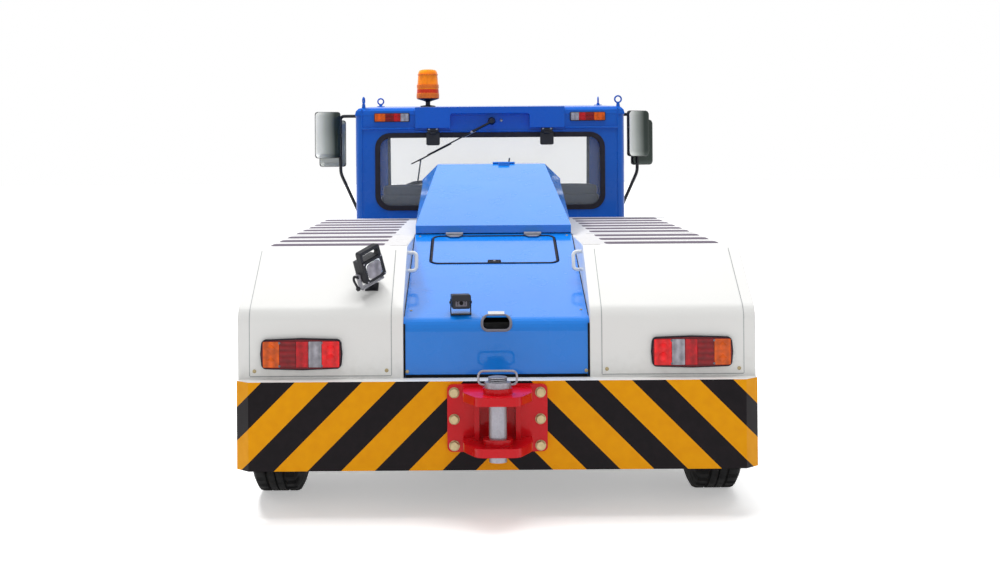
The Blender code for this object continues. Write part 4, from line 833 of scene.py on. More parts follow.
def make_camera_pod():
    """The reversing camera: a hooded cube on a U bracket, with its window and lamps."""
    x, y = -0.16, -2.700
    base = panel_point(y)
    place = at(x, y, base) @ turn("Z", 6)
    pod, bracket, window, lamps = Shape(), Shape(), Shape(), Shape()
    pod.box((-0.040, -0.034, 0.024), (0.040, 0.034, 0.086), place, 0.006)
    hood = [(-0.043, 0.060), (0.043, 0.060), (0.043, 0.088, 0.006), (-0.043, 0.088, 0.006)]
    pod.plate(rounded(hood), -0.044, 0.030, place @ ACROSS)
    pod.made("camera_pod", "plastic", bevel=0.0015)
    for side in (-1, 1):
        near, far = sorted((side * 0.0435, side * 0.0465))
        bracket.box((near, -0.020, 0.0), (far, 0.016, 0.066), place)
        bracket.rod((side * 0.0465, -0.002, 0.052), (side * 0.051, -0.002, 0.052), 0.006, place=place)
    bracket.box((-0.0465, -0.026, -0.004), (0.0465, 0.022, 0.001), place)
    bracket.made("camera_bracket", "plastic", bevel=0.001)
    window.plate(rectangle(-0.026, 0.036, 0.026, 0.066, 0.004), -0.0365, -0.033, place @ ACROSS)
    window.made("camera_window", "trim", bevel=0.001)
    for column in (-0.017, 0.017):
        for row in (0.044, 0.051, 0.058):
            lamps.lathe([(0.0026, 0), (0.0022, 0.001), (0, 0.0014)], place @ facing(column, -0.0365, row), 12)
    eye = [(0.009, 0), (0.009, 0.003), (0.006, 0.004), (0, 0.003)]
    lamps.lathe(eye, place @ facing(0, -0.0365, 0.051), 24)
    lamps.made("camera_lens", "gap")


# --- Cab rear ------------------------------------------------------------------------

BAND_Z = 1.754
ROOF_Z = 1.894
ROOF_LAMP_CELLS = (("amber_lens", 0.31), ("dark_red_lens", 0.25), ("red_lens", 0.20), ("clear_lens", 0.24))


def make_rear_window():
    seal = Shape()
    outer = rectangle(-0.765, 1.208, 0.765, 1.724, 0.100)
    inner = rectangle(-0.732, 1.241, 0.732, 1.691, 0.072)
    seal.ring(outer, inner, CAB_REAR - 0.009, CAB_REAR + 0.012, ACROSS)
    seal.made("rear_window_seal", "rubber", bevel=0.004)
    hinges, screws = Shape(), Shape()
    for x in (-0.378, 0.378):
        leaf = [(x - 0.045, 1.640, 0.012), (x + 0.045, 1.640, 0.012), (x + 0.045, 1.728), (x - 0.045, 1.728)]
        hinges.plate(rounded(leaf), CAB_REAR - 0.024, CAB_REAR - 0.010, ACROSS)
        hinges.box((x - 0.038, CAB_REAR - 0.030, 1.722), (x + 0.038, CAB_REAR - 0.002, 1.762), bevel=0.004)
        hinges.rod((x - 0.020, CAB_REAR - 0.030, 1.722), (x + 0.020, CAB_REAR - 0.030, 1.722), 0.010)
        for offset in (-0.026, 0.026):
            add_screw(screws, (x + offset, CAB_REAR - 0.030, 1.748), (0, -1, 0), 0.007)
    hinges.made("rear_window_hinges", "plastic", bevel=0.002)
    screws.made("rear_window_screws", "steel")


def make_cab_band():
    """The ledge under the upper band, the box in its middle and the creases beside the corner posts."""
    box_depth = 0.045
    outline = rounded(
        [
            (-0.495, BAND_Z, 0.004),
            (-0.263, BAND_Z),
            (-0.263, 1.850, 0.016),
            (0.263, 1.850, 0.016),
            (0.263, BAND_Z),
            (0.495, BAND_Z, 0.004),
            (0.495, ROOF_Z),
            (-0.495, ROOF_Z),
        ]
    )
    middle = Shape()
    middle.plate(outline, CAB_REAR - box_depth, CAB_REAR + 0.001, ACROSS)
    middle.box((-0.495, CAB_REAR - box_depth, ROOF_Z - 0.003), (0.495, CAB_REAR + 0.05, ROOF_Z))
    middle.made("cab_centre_box", "cab_blue", bevel=0.003)
    trim = Shape()
    for sign in (-1, 1):
        low, high = sorted((sign * 0.497, sign * 0.850))
        trim.box((low, CAB_REAR - 0.016, 1.748), (high, CAB_REAR + 0.001, 1.760), bevel=0.004)
        low, high = sorted((sign * 0.848, sign * 0.856))
        trim.box((low, CAB_REAR - 0.003, 0.61), (high, CAB_REAR + 0.02, 1.885), bevel=0.0012)
    trim.box((-0.497, CAB_REAR - 0.012, 1.728), (0.497, CAB_REAR + 0.001, 1.738), bevel=0.003)
    trim.made("cab_creases", "cab_blue")


def make_roof_lamp(side, sign):
    base = Shape()
    low, high = sorted((sign * 0.533, sign * 0.770))
    level, half = 1.827, 0.030
    base.plate(rectangle(low, level - half, high, level + half, 0.008), CAB_REAR - 0.010, CAB_REAR, ACROSS)
    base.made("roof_lamp_base_" + side, "plastic", bevel=0.002)
    edge, usable = 0.764, 0.225
    for finish, share in ROOF_LAMP_CELLS:
        width = usable * share
        low, high = sorted((sign * edge, sign * (edge - width)))
        cell = Shape()
        outline = rectangle(low, level - half + 0.005, high - 0.0005, level + half - 0.005, 0.003)
        cell.plate(outline, CAB_REAR - 0.016, CAB_REAR - 0.009, ACROSS)
        columns = 3 if width > 0.05 else 2
        diode = [(0.0055, -0.001), (0.005, 0.001), (0, 0.0025)]
        for column in range(columns):
            for row in (-0.009, 0.009):
                x = low + width * (column + 0.5) / columns
                cell.lathe(diode, facing(x, CAB_REAR - 0.016, level + row), 12)
        cell.made(f"roof_lamp_{finish}_{side}", finish, bevel=0.001)
        edge -= width


def make_wiper():
    pivot, tip = Vector((0.012, CAB_REAR - 0.060, 1.795)), Vector((-0.523, CAB_REAR - 0.028, 1.521))
    along = (tip - pivot).normalized()
    knee = pivot + along * 0.15
    arm = Shape()
    arm.rod((0.012, CAB_REAR - 0.012, 1.80), (0.012, CAB_REAR - 0.050, 1.80), 0.026, 0.018)
    arm.rod((0.012, CAB_REAR - 0.050, 1.80), (0.012, CAB_REAR - 0.072, 1.797), 0.018, 0.014)
    arm.tube([pivot, knee], 0.0085, 8)
    arm.tube([knee - along * 0.01, tip - along * 0.12], 0.0048, 8)
    arm.made("wiper_arm", "plastic", bevel=0.001)
    blade = Shape()
    drop = Vector((0, 0.006, -0.007))
    blade.tube([tip - along * 0.30 + drop, tip + drop * 0.5], 0.0042, 8)
    blade.tube([tip - along * 0.22, tip - along * 0.12 + drop, tip - along * 0.05 + drop], 0.0035, 8)
    blade.made("wiper_blade", "rubber")
    joint = Shape()
    pivot_cap = [(0.008, -0.004), (0.008, 0.004), (0.004, 0.006), (0, 0.006)]
    joint.lathe(pivot_cap, facing(knee.x, knee.y - 0.006, knee.z), 14)
    joint.tube([knee + Vector((0.03, -0.008, 0.006)), knee + Vector((-0.055, -0.006, -0.040))], 0.0014, 6)
    joint.made("wiper_spring", "steel")
    nozzle = Shape()
    nozzle.lathe([(0.010, 0), (0.009, 0.005), (0.004, 0.009), (0, 0.009)], facing(0.075, CAB_REAR, 1.803), 16)
    nozzle.made("washer_nozzle", "steel")


def make_lifting_eyes():
    """Four eye bolts on the roof: X, Y, foot height, how far the ring is turned, and a square foot or not."""
    roof_front_z = BOXES["cab_roof"][1].z
    spots = (
        (-0.842, CAB_REAR + 0.045, 1.893, 80, False),
        (0.858, CAB_REAR + 0.045, 1.893, 5, False),
        (-0.815, 1.85, roof_front_z - 0.006, 10, True),
        (0.830, 1.85, roof_front_z - 0.006, 82, True),
    )
    eyes = Shape()
    for x, y, z, angle, flanged in spots:
        place = at(x, y, z) @ turn("Z", angle)
        if flanged:
            eyes.box((-0.028, -0.028, -0.012), (0.028, 0.028, 0.006), place, 0.002)
            eyes.rod((0, 0, 0.004), (0, 0, 0.020), 0.014, 0.009, place=place)
        else:
            eyes.rod((0, 0, -0.030), (0, 0, 0.026), 0.018, 0.010, place=place)
        centre = 0.040 if flanged else 0.048
        ring = [(x, 0, centre + z) for x, z in circle(0.022, 24)]
        eyes.tube(ring, 0.0055, closed=True, place=place)
    eyes.made("lifting_eyes", "cab_blue")


def circle(radius, sides=48):
    angles = [2 * math.pi * k / sides for k in range(sides)]
    return [Vector((radius * math.cos(a), radius * math.sin(a))) for a in angles]


def make_beacon():
    """Black foot and stem, an orange base, a red band, a ribbed amber dome, and two bright orange rings
    through the dome that are a painted glow.
    """
    low, high = BOXES["beacon"]
    place = at((low.x + high.x) / 2, (low.y + high.y) / 2, low.z)
    foot = Shape()
    profile = [(0, 0), (0.052, 0), (0.052, 0.006), (0.016, 0.012), (0.016, 0.034)]
    profile += [(0.030, 0.040), (0.072, 0.052), (0.074, 0.058), (0, 0.058)]
    foot.lathe(profile, place)
    foot.made("beacon_foot", "plastic", replaces="beacon")
    base = Shape()
    profile = [(0, 0.056), (0.0770, 0.056), (0.0775, 0.060), (0.0772, 0.090), (0.074, 0.093), (0, 0.093)]
    base.lathe(profile, place, 48)
    base.made("beacon_base", "orange_base")
    band = Shape()
    band.lathe([(0.06, 0.091), (0.0752, 0.093), (0.0745, 0.117), (0.06, 0.119)], place, 48)
    band.made("beacon_band", "red_band")
    dome = Shape()
    profile = [(0, 0.117)]
    for step in range(13):
        level = 0.118 + 0.0083 * step
        radius = 0.0742 - 0.0078 * step / 12
        profile += [(radius - 0.0006, level), (radius, level + 0.0035)]
    profile += [(0.0645, 0.232), (0.060, 0.244), (0.050, 0.251), (0.030, 0.2545), (0, 0.255)]
    dome.lathe(profile, place, 48)
    dome.made("beacon_dome", "dome_lens")
    # Painted glow: bright orange rings through the dome stand for its light.
    for name, start, end, radius in (("lower", 0.126, 0.150, 0.0752), ("upper", 0.214, 0.222, 0.0688)):
        glow = Shape()
        glow.ring(circle(radius), circle(0.06), start, end, place)
        glow.made("beacon_glow_" + name, "orange_base", bevel=0.001)


# --- Mirrors --------------------------------------------------------------------------

# side, name, middle X, middle Z, width, height, distance ahead of the tube, yaw in degrees
MIRROR_HEADS = (
    ("left", "main", -1.198, 1.725, 0.19, 0.345, -0.045, 8),
    ("left", "second", -1.170, 1.662, 0.20, 0.349, 0.045, 8),
    ("right", "main", 1.106, 1.722, 0.18, 0.340, -0.055, 28),
    ("right", "second", 1.145, 1.657, 0.18, 0.340, 0.055, 28),
)
MIRROR_Y = 1.70


def make_mirrors():
    # Painted reflections: each head's glass colour runs pale to dark along X, the second heads over a darker
    # range.
    MATERIALS["mirror_left"] = painted_reflection_mirror("mirror glass with painted reflection, left", -1.285, -1.115)
    MATERIALS["mirror_painted_reflection_dark"] = painted_reflection_mirror("mirror glass with painted dark reflection", -2.6, 1.0)
    MATERIALS["mirror_right"] = painted_reflection_mirror("mirror glass with painted reflection, right", 1.03, 1.18)
    for side, name, x, z, width, height, ahead, yaw in MIRROR_HEADS:
        place = at(x, MIRROR_Y + ahead, z) @ turn("Z", yaw)
        pane = Shape()
        half_w, half_h = width / 2 - 0.004, height / 2 - 0.004
        rings = []
        for inset, depth in ((0.0, -0.021), (0.0, -0.0235), (0.004, -0.0265), (0.03, -0.029)):
            w, h = half_w - inset, half_h - inset
            outline = rectangle(-w, -h, w, h, 0.028 - inset * 0.5)
            rings.append([(px, py, depth) for px, py in outline])
        pane.loft(rings, place @ ACROSS)
        pane.made(f"mirror_glass_{side}_{name}", "mirror_" + side if name == "main" else "mirror_painted_reflection_dark")


# --- Hitches ---------------------------------------------------------------------------


def make_hitch_details(end, way):
    """Six plated bolts with washers, and the turned bands of the pin."""
    bolts = Shape()
    face = BOXES[end + "_bumper"][0].y if way < 0 else BOXES[end + "_bumper"][1].y
    face += way * 0.0253
    for x in (-0.188, 0.188):
        for z in (0.553, 0.437, 0.322):
            place = at(x, face, z) @ turn("X", 90 if way < 0 else -90)
            bolts.lathe([(0, -0.001), (0.0235, -0.001), (0.0235, 0.003), (0, 0.003)], place, 28)
            head = place @ turn("Z", 12 + 37 * z)
            bolts.lathe([(0.0215, 0.003), (0.0215, 0.0145), (0.0195, 0.0165), (0, 0.0165)], head, 6)
            bolts.lathe([(0.0185, 0.016), (0.0165, 0.0172), (0, 0.0172)], place, 24)
    bolts.made("hitch_bolts_" + end, "zinc", bevel=0.0008, smooth=25)
    low, high = BOXES[end + "_pin"]
    pin_y = (low.y + high.y) / 2
    bands = Shape()
    for z, radius in ((0.6135, 0.0568), (0.6065, 0.0566), (0.6365, 0.0405), (0.644, 0.0405)):
        band = [(0.02, z - 0.002), (radius, z - 0.002), (radius, z + 0.002), (0.02, z + 0.002)]
        bands.lathe(band, at(0, pin_y, 0), 40)
    return bands


# --- Wheels -----------------------------------------------------------------------------

LUGS = 40


def make_wheel(end, side, sign):
    body = f"wheel_{end}_{side}"
    low, high = BOXES[f"{end}_{side}_tyre"]
    centre = (low + high) / 2
    radius, half = (high.z - low.z) / 2, (high.x - low.x) / 2
    place = at(*centre) @ turn("Y", 90 * sign)
    tread = radius - 0.0005
    groove = tread - 0.012
    profile = [
        (0.2925, -half + 0.022, 0),
        (0.312, -half + 0.010, 0),
        (radius - 0.095, -half + 0.0005, 0),
        (radius - 0.055, -half + 0.004, 0),
        (radius - 0.030, -half + 0.012, 1),
        (tread - 0.004, -half + 0.026, 2),
        (tread, -half + 0.038, 2),
        (tread, -0.046, 2),
        (groove, -0.043, 0),
        (groove, -0.036, 0),
        (tread, -0.033, 0),
        (tread, -0.004, 0),
        (groove, -0.001, 0),
    ]
    profile += [(r, -h, lug and lug + 2) for r, h, lug in reversed(profile[:-1])]
    profile.insert(13, (groove, 0.001, 0))
    tyre = Shape()
    rings = []
    steps = LUGS * 4
    for step in range(steps):
        angle = 2 * math.pi * step / steps
        ring = []
        for point_radius, height, lug in profile:
            phase = (step + (2 if lug > 2 else 0)) % 4
            cut = {0: 0.0, 1: 0.008, 2: 0.012}[lug if lug < 3 else lug - 2] if phase == 0 and lug else 0.0
            r = point_radius - cut
            ring.append((r * math.cos(angle), r * math.sin(angle), height))
        rings.append(ring)
    tyre.loft(rings, place, closed=True)
    tyre.made(f"{end}_{side}_tyre_tread", "tyre", body, replaces=f"{end}_{side}_tyre", smooth=30)
    trim = Shape()
    ring = rectangle(0.2895, half - 0.024, 0.2965, half - 0.012, 0.003)
    trim.loft(
        [[(x * c, x * s, z) for x, z in ring] for c, s in circle(1, 64)],
        place,
        closed=True,
    )
    trim.made(f"{end}_{side}_rim_ring", "white", body)
    nuts = Shape()
    for index in range(8):
        spot = place @ turn("Z", 45 * index + 22.5) @ at(0.135, 0, 0)
        nuts.lathe([(0.019, -0.001), (0.019, 0.004), (0, 0.004)], spot, 20)
        nuts.lathe([(0.0155, 0.003), (0.0155, 0.020), (0.012, 0.023), (0, 0.023)], spot, 6)
        nuts.lathe([(0.009, 0.022), (0.009, 0.030), (0, 0.031)], spot, 12)
    nuts.made(f"{end}_{side}_wheel_nuts", "zinc", body, smooth=25)
    cap = Shape()
    dish = [(0, 0.049), (0.078, 0.049), (0.078, 0.056), (0.060, 0.060)]
    dish += [(0.052, 0.066), (0.020, 0.068), (0, 0.068)]
    cap.lathe(dish, place, 40)
    cap.made(f"{end}_{side}_hub_cap", "black_paint", body, bevel=0.001)
    # Painted shade: dark discs where the rim's holes are.
    holes = Shape()
    for index in range(10):
        spot = place @ turn("Z", 36 * index) @ at(0.232, 0, 0.0235) @ turn("Y", -36)
        holes.lathe([(0.017, -0.004), (0.017, 0.0006), (0, 0.0006)], spot, 20)
    holes.made(f"{end}_{side}_rim_hole_shade", "gap", body)


# --- Seats -------------------------------------------------------------------------------


def cushion(name, finish, centre, size, crown, squash=0.0, body="chassis", replaces=None, tilt=0.0):
    """A crowned pad: a fine grid block whose faces swell and whose sides pull in between its corners."""
    steps = 14
    shape = Shape()
    bmesh.ops.create_cube(shape.mesh, size=2)
    bmesh.ops.subdivide_edges(shape.mesh, edges=shape.mesh.edges[:], cuts=steps, use_grid_fill=True)
    half = Vector(size) / 2
    for vert in shape.mesh.verts:
        u, v, w = vert.co
        power = 5.0
        length = (abs(u) ** power + abs(v) ** power + abs(w) ** power) ** (1 / power)
        point = Vector((u, v, w)) / length
        swell = 1 + crown * (1 - u * u) * (1 - v * v)
        pull = 1 - squash * (1 - w * w) * 0.5
        vert.co = (point.x * half.x * pull, point.y * half.y * pull, point.z * half.z * swell)
    shape.moved(shape.mesh.verts[:], at(*centre) @ turn("X", tilt))
    piece = shape.made(name, finish, body, replaces=replaces, smooth=80)
    return piece


def make_seat(side):
    low, high = BOXES["seat_" + side]
    x = (low.x + high.x) / 2
    width = high.x - low.x - 0.012
    rear, top = low.y, high.z
    base_top = low.z + 0.20
    pads = (
        ("base", rear + 0.305, base_top + 0.062, (width, 0.46, 0.105), 0.10, 0.03),
        ("back", rear + 0.075, base_top + 0.235, (width, 0.115, 0.34), 0.0, 0.04),
        ("lower_roll", rear + 0.070, top - 0.105, (width - 0.01, 0.122, 0.085), 0.0, 0.02),
        ("upper_roll", rear + 0.070, top - 0.042, (width - 0.04, 0.128, 0.080), 0.03, 0.02),
    )
    for name, y, z, size, crown, squash in pads:
        stands_for = "seat_" + side if name == "base" else None
        cushion(f"seat_{side}_{name}", "seat", (x, y, z), size, crown, squash, replaces=stands_for)
    # how far each block of the pedestal is in from the seat's sides, its rear and front, its foot and top
    pedestal = (
        (0.07, 0.11, 0.47, low.z, low.z + 0.03, 0.004),
        (0.10, 0.14, 0.44, low.z + 0.03, base_top - 0.02, 0.012),
        (0.04, 0.08, 0.50, base_top - 0.02, base_top + 0.012, 0.006),
    )
    frame_ = Shape()
    for inset, y0, y1, z0, z1, edge in pedestal:
        reach = width / 2 - inset
        frame_.box((x - reach, rear + y0, z0), (x + reach, rear + y1, z1), bevel=edge)
    frame_.made(f"seat_{side}_pedestal", "plastic")
    seams = Shape()
    reach = width / 2 - 0.03
    for level in (base_top + 0.14, base_top + 0.23, base_top + 0.32):
        seams.tube([(x - reach, rear + 0.131, level), (x + reach, rear + 0.131, level)], 0.0022, 6)
    seams.made(f"seat_{side}_seams", "rubber")


# --- Cab inside, doors and front -----------------------------------------------------------


def make_dashboard_details():
    low, high = BOXES["dashboard"]
    gauges, faces, marks = Shape(), Shape(), Shape()
    for index, (x, radius) in enumerate(((-0.60, 0.040), (-0.50, 0.048), (-0.40, 0.040))):
        place = at(x, low.y + 0.055, high.z) @ turn("X", 25)
        rim = radius + 0.008
        gauges.lathe([(rim, -0.03), (rim, 0.014), (radius, 0.016), (radius, 0.008), (0, 0.008)], place, 32)
        faces.lathe([(radius - 0.002, 0.0075), (radius - 0.002, 0.010), (0, 0.010)], place, 32)
        for tick in range(9):
            spot = place @ turn("Z", -120 + 30 * tick)
            marks.box((-0.001, radius - 0.014, 0.010), (0.001, radius - 0.006, 0.0108), spot)
        needle = place @ turn("Z", 60 - 40 * index)
        marks.box((-0.001, -0.004, 0.010), (0.001, radius - 0.016, 0.0112), needle)
    gauges.made("gauge_rings", "chrome", bevel=0.0008)
    faces.made("gauge_faces", "gap")
    marks.made("gauge_marks", "white")
    switches = Shape()
    for index in range(6):
        x = -0.20 + 0.05 * index
        corner = (x + 0.034, low.y + 0.004, high.z - 0.02)
        switches.box((x, low.y - 0.012, high.z - 0.06), corner, bevel=0.003)
    switches.made("dashboard_switches", "rubber")
    pedals = Shape()
    for x in (-0.40, -0.52):
        pedals.box((x - 0.04, 1.60, 0.72), (x + 0.04, 1.615, 0.82), bevel=0.004)
        pedals.tube([(x, 1.612, 0.80), (x, 1.70, 0.95), (x, 1.72, 1.03)], 0.010)
    pedals.made("pedals", "black_paint")
    levers = Shape()
    levers.tube(softened([(-0.50, 1.53, 1.13), (-0.62, 1.50, 1.15), (-0.70, 1.47, 1.17)], 0.02), 0.006)
    levers.tube(softened([(-0.02, 1.16, 0.645), (-0.02, 1.16, 0.80), (-0.01, 1.12, 0.93)], 0.03), 0.009)
    knob = [(0, -0.024), (0.018, -0.016), (0.022, 0), (0.016, 0.018), (0, 0.022)]
    levers.lathe(knob, at(-0.01, 1.115, 0.945), 24)
    levers.made("levers", "plastic")


def make_door_details(side, sign):
    body = "door_" + side
    low, high = BOXES["door_glass_" + side]
    face = sign * CAB_HALF
    seal = Shape()
    outer = rectangle(low.y - 0.016, low.z - 0.016, high.y + 0.016, high.z + 0.016, 0.062)
    inner = rectangle(low.y + 0.012, low.z + 0.012, high.y - 0.012, high.z - 0.012, 0.040)
    seal.ring(outer, inner, face - sign * 0.024, face + sign * 0.004, LENGTHWAYS)
    seal.made("door_window_seal_" + side, "rubber", body, bevel=0.002)
    handle = Shape()
    y, z = low.y + 0.02, 1.03
    outline = rectangle(y - 0.06, z - 0.028, y + 0.06, z + 0.028, 0.012)
    handle.plate(outline, face, face + sign * 0.006, LENGTHWAYS)
    out = face + sign * 0.034
    route = [(face, y - 0.045, z), (out, y - 0.045, z), (out, y + 0.045, z), (face, y + 0.045, z)]
    handle.tube(softened(route, 0.014), 0.008)
    handle.made("door_handle_" + side, "plastic", body, bevel=0.001)
    lock = Shape()
    barrel = [(0.011, 0), (0.011, 0.003), (0.008, 0.004), (0, 0.004)]
    lock.lathe(barrel, at(face, y, z - 0.06) @ turn("Y", 90 * sign), 20)
    lock.made("door_lock_" + side, "steel", body)
    divider = Shape()
    middle = (low.y + high.y) / 2
    near, far = sorted((face - sign * 0.022, face - sign * 0.002))
    foot, head = (near, middle - 0.012, low.z + 0.008), (far, middle + 0.012, high.z - 0.008)
    divider.box(foot, head, bevel=0.002)
    divider.made("door_window_bar_" + side, "rubber", body)


def make_cab_side_details(side, sign):
    rail_y = BOXES["quarter_glass_" + side][0].y
    face = sign * CAB_HALF
    step = Shape()
    step_rear = BOXES["step_" + side][0].y
    near, far = sorted((sign * 0.935, sign * (BOX_OUTER - 0.05)))
    for index in range(5):
        y = step_rear + 0.05 + index * 0.165
        step.plate(rectangle(near, y, far, y + 0.13, 0.012), 0.3995, 0.4035)
    step.made("step_tread_" + side, "mat", bevel=0.001)
    rail = Shape()
    x = face + sign * 0.045
    y0, y1 = rail_y - 0.02, rail_y + 0.02
    route = [(face, y0, 1.12), (x, y0, 1.14), (x, y1, 1.62), (face, y1, 1.64)]
    rail.tube(softened(route, 0.025), 0.010)
    rail.made("grab_rail_" + side, "black_paint")
    marker = Shape()
    y = -1.0
    x = sign * BOX_OUTER
    marker.plate(rectangle(y - 0.05, 0.86, y + 0.05, 0.90, 0.006), x, x + sign * 0.008, LENGTHWAYS)
    marker.made("side_marker_" + side, "amber_lens", bevel=0.002)
    # Painted shadow: grey rings in the gaps round the side box doors.
    lines = Shape()
    for y0, y1 in ((-1.72, -0.98), (-0.94, -0.20), (-0.16, 0.42)):
        outer = rectangle(y0, 0.36, y1, 1.02, 0.03)
        inner = rectangle(y0 + 0.004, 0.364, y1 - 0.004, 1.016, 0.027)
        lines.ring(outer, inner, x - sign * 0.001, x + sign * 0.0012, LENGTHWAYS)
    lines.made("side_door_line_shadows_" + side, "seam")
    catches = Shape()
    for y in (-1.35, -0.57, 0.13):
        catches.plate(rectangle(y - 0.035, 0.93, y + 0.035, 0.975, 0.006), x, x + sign * 0.006, LENGTHWAYS)
        button = [(0.012, 0.004), (0.012, 0.010), (0, 0.011)]
        catches.lathe(button, at(x, y, 0.952) @ turn("Y", 90 * sign), 20)
    catches.made("side_door_catches_" + side, "plastic", bevel=0.001)


def make_front():
    face = BODY_FRONT
    grille, bars = Shape(), Shape()
    # Painted shade: a dark plate behind the grille bars.
    grille.plate(rectangle(-0.42, 0.68, 0.42, 0.94, 0.03), face - 0.001, face + 0.004, ACROSS)
    grille.made("grille_back_shade", "gap")
    for index in range(7):
        z = 0.705 + 0.035 * index
        bars.box((-0.40, face + 0.002, z - 0.007), (0.40, face + 0.016, z + 0.007), bevel=0.004)
    outer = rectangle(-0.44, 0.66, 0.44, 0.96, 0.04)
    inner = rectangle(-0.41, 0.69, 0.41, 0.93, 0.03)
    bars.ring(outer, inner, face, face + 0.014, ACROSS)
    bars.made("grille_bars", "plastic", bevel=0.002)
    for side, sign in SIDES:
        low, high = BOXES["headlight_" + side]
        middle, level = (low.x + high.x) / 2, (low.z + high.z) / 2
        half_w, half_h = (high.x - low.x) / 2, (high.z - low.z) / 2
        case = Shape()
        outer = rectangle(middle - half_w, level - half_h, middle + half_w, level + half_h, 0.03)
        w, h = half_w - 0.014, half_h - 0.014
        inner = rectangle(middle - w, level - h, middle + w, level + h, 0.02)
        case.ring(outer, inner, face, face + 0.029, ACROSS)
        case.plate(inner, face, face + 0.006, ACROSS)
        case.made("headlight_case_" + side, "plastic", bevel=0.002, replaces="headlight_" + side)
        bowls, lenses = Shape(), Shape()
        for x, radius in ((middle + sign * 0.055, 0.064), (middle - sign * 0.075, 0.050)):
            place = at(x, face + 0.004, level) @ turn("X", -90)
            bowl = [(radius, 0.018), (radius, 0.0), (0, 0.0)]
            bowl += [(0, 0.003), (radius * 0.5, 0.006), (radius * 0.9, 0.018)]
            bowls.lathe(bowl, place, 40)
            front = [(radius * 0.98, 0.014), (radius * 0.98, 0.019), (radius * 0.6, 0.0235), (0, 0.025)]
            lenses.lathe(front, place, 40)
        bowls.made("headlight_bowls_" + side, "chrome")
        lenses.made("headlight_lenses_" + side, "clear_lens")
        turn_lamp = Shape()
        x = sign * 1.06
        outline = rectangle(x - 0.035, level - 0.05, x + 0.035, level + 0.05, 0.01)
        turn_lamp.plate(outline, face, face + 0.02, ACROSS)
        turn_lamp.made("front_turn_lamp_" + side, "amber_lens", bevel=0.004)
    plate = Shape()
    plate.plate(rectangle(-0.24, 0.612, 0.24, 0.650, 0.006), face, face + 0.004, ACROSS)
    plate.made("front_blank_plate", "deck_light", bevel=0.001)


WINDSHIELD_LEAN = 0.09 / 0.82


def make_windshield_details():
    front = BOXES["cab_front_frame"][1].y
    tilt = math.atan(WINDSHIELD_LEAN)
    place = at(0, front, 1.02) @ turn("X", math.degrees(tilt)) @ ACROSS
    scale = 1 / math.cos(tilt)
    outer = rectangle(-0.795, (1.095 - 1.02) * scale, 0.795, (1.812 - 1.02) * scale, 0.05)
    inner = rectangle(-0.750, (1.138 - 1.02) * scale, 0.750, (1.770 - 1.02) * scale, 0.03)
    seal = Shape()
    seal.ring(outer, inner, -0.022, 0.006, place)
    seal.made("windshield_seal", "rubber", bevel=0.003)
    wipers = Shape()
    for x in (-0.38, 0.30):
        foot = (x, (1.075 - 1.02) * scale, 0.012)
        wipers.lathe([(0.018, -0.012), (0.018, 0.010), (0.010, 0.016), (0, 0.016)], place @ at(*foot), 18)
        wipers.tube([(x, foot[1], 0.018), (x - 0.16, foot[1] + 0.26, 0.020)], 0.006, 8, place=place)
        blade = [(x - 0.20, foot[1] + 0.07, 0.012), (x - 0.14, foot[1] + 0.47, 0.012)]
        wipers.tube(blade, 0.006, 8, place=place)
    wipers.made("front_wipers", "plastic")


# --- Stage, lights and camera --------------------------------------------------


def make_floor():
    mesh = bpy.data.meshes.new("floor")
    shape = bmesh.new()
    bmesh.ops.create_grid(shape, x_segments=1, y_segments=1, size=60)
    shape.to_mesh(mesh)
    shape.free()
    floor = bpy.data.objects.new("floor", mesh)
    floor.location.z = GROUND - 0.001
    bpy.context.scene.collection.objects.link(floor)
    n = Nodes("floor")
    tone = n.between(n.noise(0.6, 2.0), 0.3, 0.7, 0.0, 1.0)
    n.put(n.shader.inputs["Base Color"], n.mix(tone, rgb(250, 250, 250), rgb(252, 252, 252)))
    n.set(Roughness=0.9, Specular_IOR_Level=0.1)
    path = n.add("LightPath").outputs
    seen = n.math("MAXIMUM", path["Is Camera Ray"], path["Is Transmission Ray"])
    seen = n.math("MAXIMUM", seen, path["Is Glossy Ray"])
    split = n.add("SeparateXYZ", {0: n.object})
    out_x = n.math("MAXIMUM", n.math("SUBTRACT", n.math("ABSOLUTE", split.outputs["X"]), 1.0), 0.0)
    out_y = n.math("MAXIMUM", n.math("SUBTRACT", n.math("ABSOLUTE", split.outputs["Y"]), 2.85), 0.0)
    away = n.math("SQRT", n.math("ADD", n.math("POWER", out_x, 2.0), n.math("POWER", out_y, 2.0)))
    fade = n.add(
        "MapRange",
        {"Value": away, "From Min": 0.05, "From Max": 0.8, "To Min": FLOOR_GLOW, "To Max": 1.0},
        interpolation_type="SMOOTHSTEP",
    ).outputs[0]
    n.put(n.shader.inputs["Emission Strength"], n.math("MULTIPLY", seen, fade))
    n.set(Emission_Color=(1, 1, 1, 1))
    mesh.materials.append(n.material)


FLOOR_GLOW = 0.4
WORLD_LIGHT = 0.40
# name: (place, where it points, size, power)
LAMPS = {
    "key": ((-3.2, 2.5, 7.5), (0, -1.4, 0.8), 1.6, 560),
    "top": ((0.5, -1.5, 8.5), (0, -1.2, 0.8), 6.0, 430),
    "rear_fill": ((1.5, -10.0, 3.0), (0, -2.5, 0.8), 5.0, 80),
    "front_fill": ((2.5, 9.0, 4.5), (0, 1.5, 1.0), 4.0, 150),
}


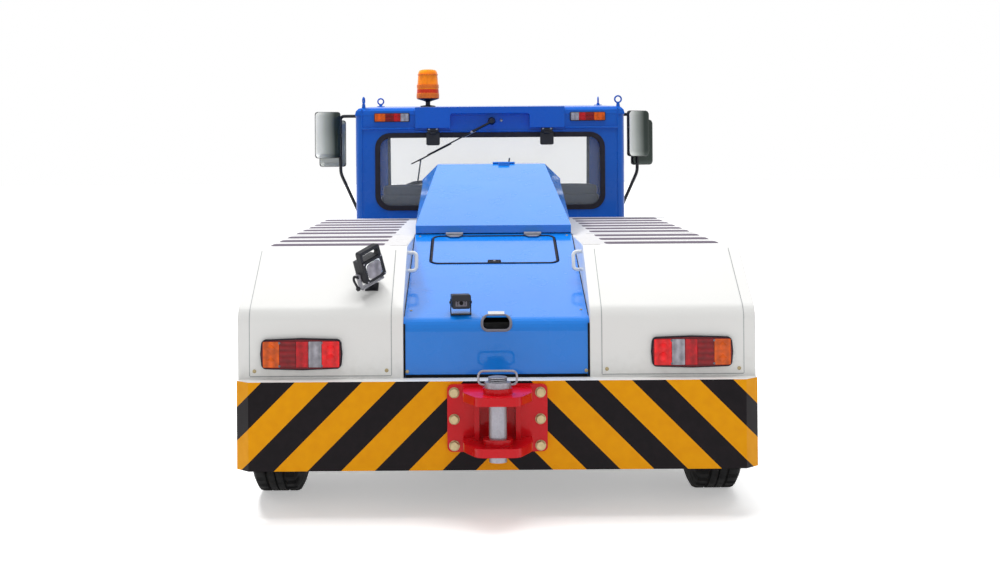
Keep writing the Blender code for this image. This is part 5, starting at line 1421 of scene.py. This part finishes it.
def make_world():
    world = bpy.data.worlds.new("studio")
    bpy.context.scene.world = world
    world.use_nodes = True
    tree = world.node_tree
    background = tree.nodes["Background"]
    ray = tree.nodes.new("ShaderNodeLightPath")
    seen = tree.nodes.new("ShaderNodeMath")
    seen.operation = "MAXIMUM"
    tree.links.new(ray.outputs["Is Camera Ray"], seen.inputs[0])
    tree.links.new(ray.outputs["Is Transmission Ray"], seen.inputs[1])
    also = tree.nodes.new("ShaderNodeMath")
    also.operation = "MAXIMUM"
    tree.links.new(seen.outputs[0], also.inputs[0])
    tree.links.new(ray.outputs["Is Glossy Ray"], also.inputs[1])
    strength = tree.nodes.new("ShaderNodeMapRange")
    strength.inputs["To Min"].default_value = WORLD_LIGHT
    strength.inputs["To Max"].default_value = 1.0
    tree.links.new(also.outputs[0], strength.inputs["Value"])
    tree.links.new(strength.outputs[0], background.inputs["Strength"])
    background.inputs["Color"].default_value = (1, 1, 1, 1)


def make_lamps():
    for name, (place, target, size, power) in LAMPS.items():
        data = bpy.data.lights.new(name, "AREA")
        data.size = size
        data.energy = power
        lamp = bpy.data.objects.new(name, data)
        lamp.location = place
        lamp.rotation_euler = (Vector(target) - Vector(place)).to_track_quat("-Z", "Y").to_euler()
        lamp.visible_glossy = False
        bpy.context.scene.collection.objects.link(lamp)


def make_camera():
    """An eye-level camera behind the rear bumper, looking straight forward."""
    data = bpy.data.cameras.new("camera")
    data.sensor_width = 36.0
    data.lens = 53.5
    data.shift_x = 0.0205
    data.shift_y = -0.132
    data.clip_end = 200
    camera = bpy.data.objects.new("camera", data)
    camera.location = (-0.07, REAR_FACE - 6.5, 1.614)
    camera.rotation_euler = (math.radians(90), math.radians(0.4), 0)
    bpy.context.scene.collection.objects.link(camera)
    bpy.context.scene.camera = camera


bpy.context.scene.view_settings.view_transform = "Standard"
make_floor()
make_world()
make_lamps()
make_camera()
for side, sign in SIDES:
    make_cover(side, sign)
    make_deck(side, sign)
    make_tail_lamp(side, sign)
    make_roof_lamp(side, sign)
    make_seat(side)
    make_door_details(side, sign)
    make_cab_side_details(side, sign)
    for end, way in ENDS:
        make_wheel(end, side, sign)
for end, way in ENDS:
    make_hitch_details(end, way).made("pin_bands_" + end, "steel", end + "_pin", bevel=0.0006)
make_work_light()
make_hatch()
make_panel_details()
make_camera_pod()
make_rear_window()
make_cab_band()
make_wiper()
make_lifting_eyes()
make_beacon()
make_mirrors()
make_dashboard_details()
make_front()
make_windshield_details()
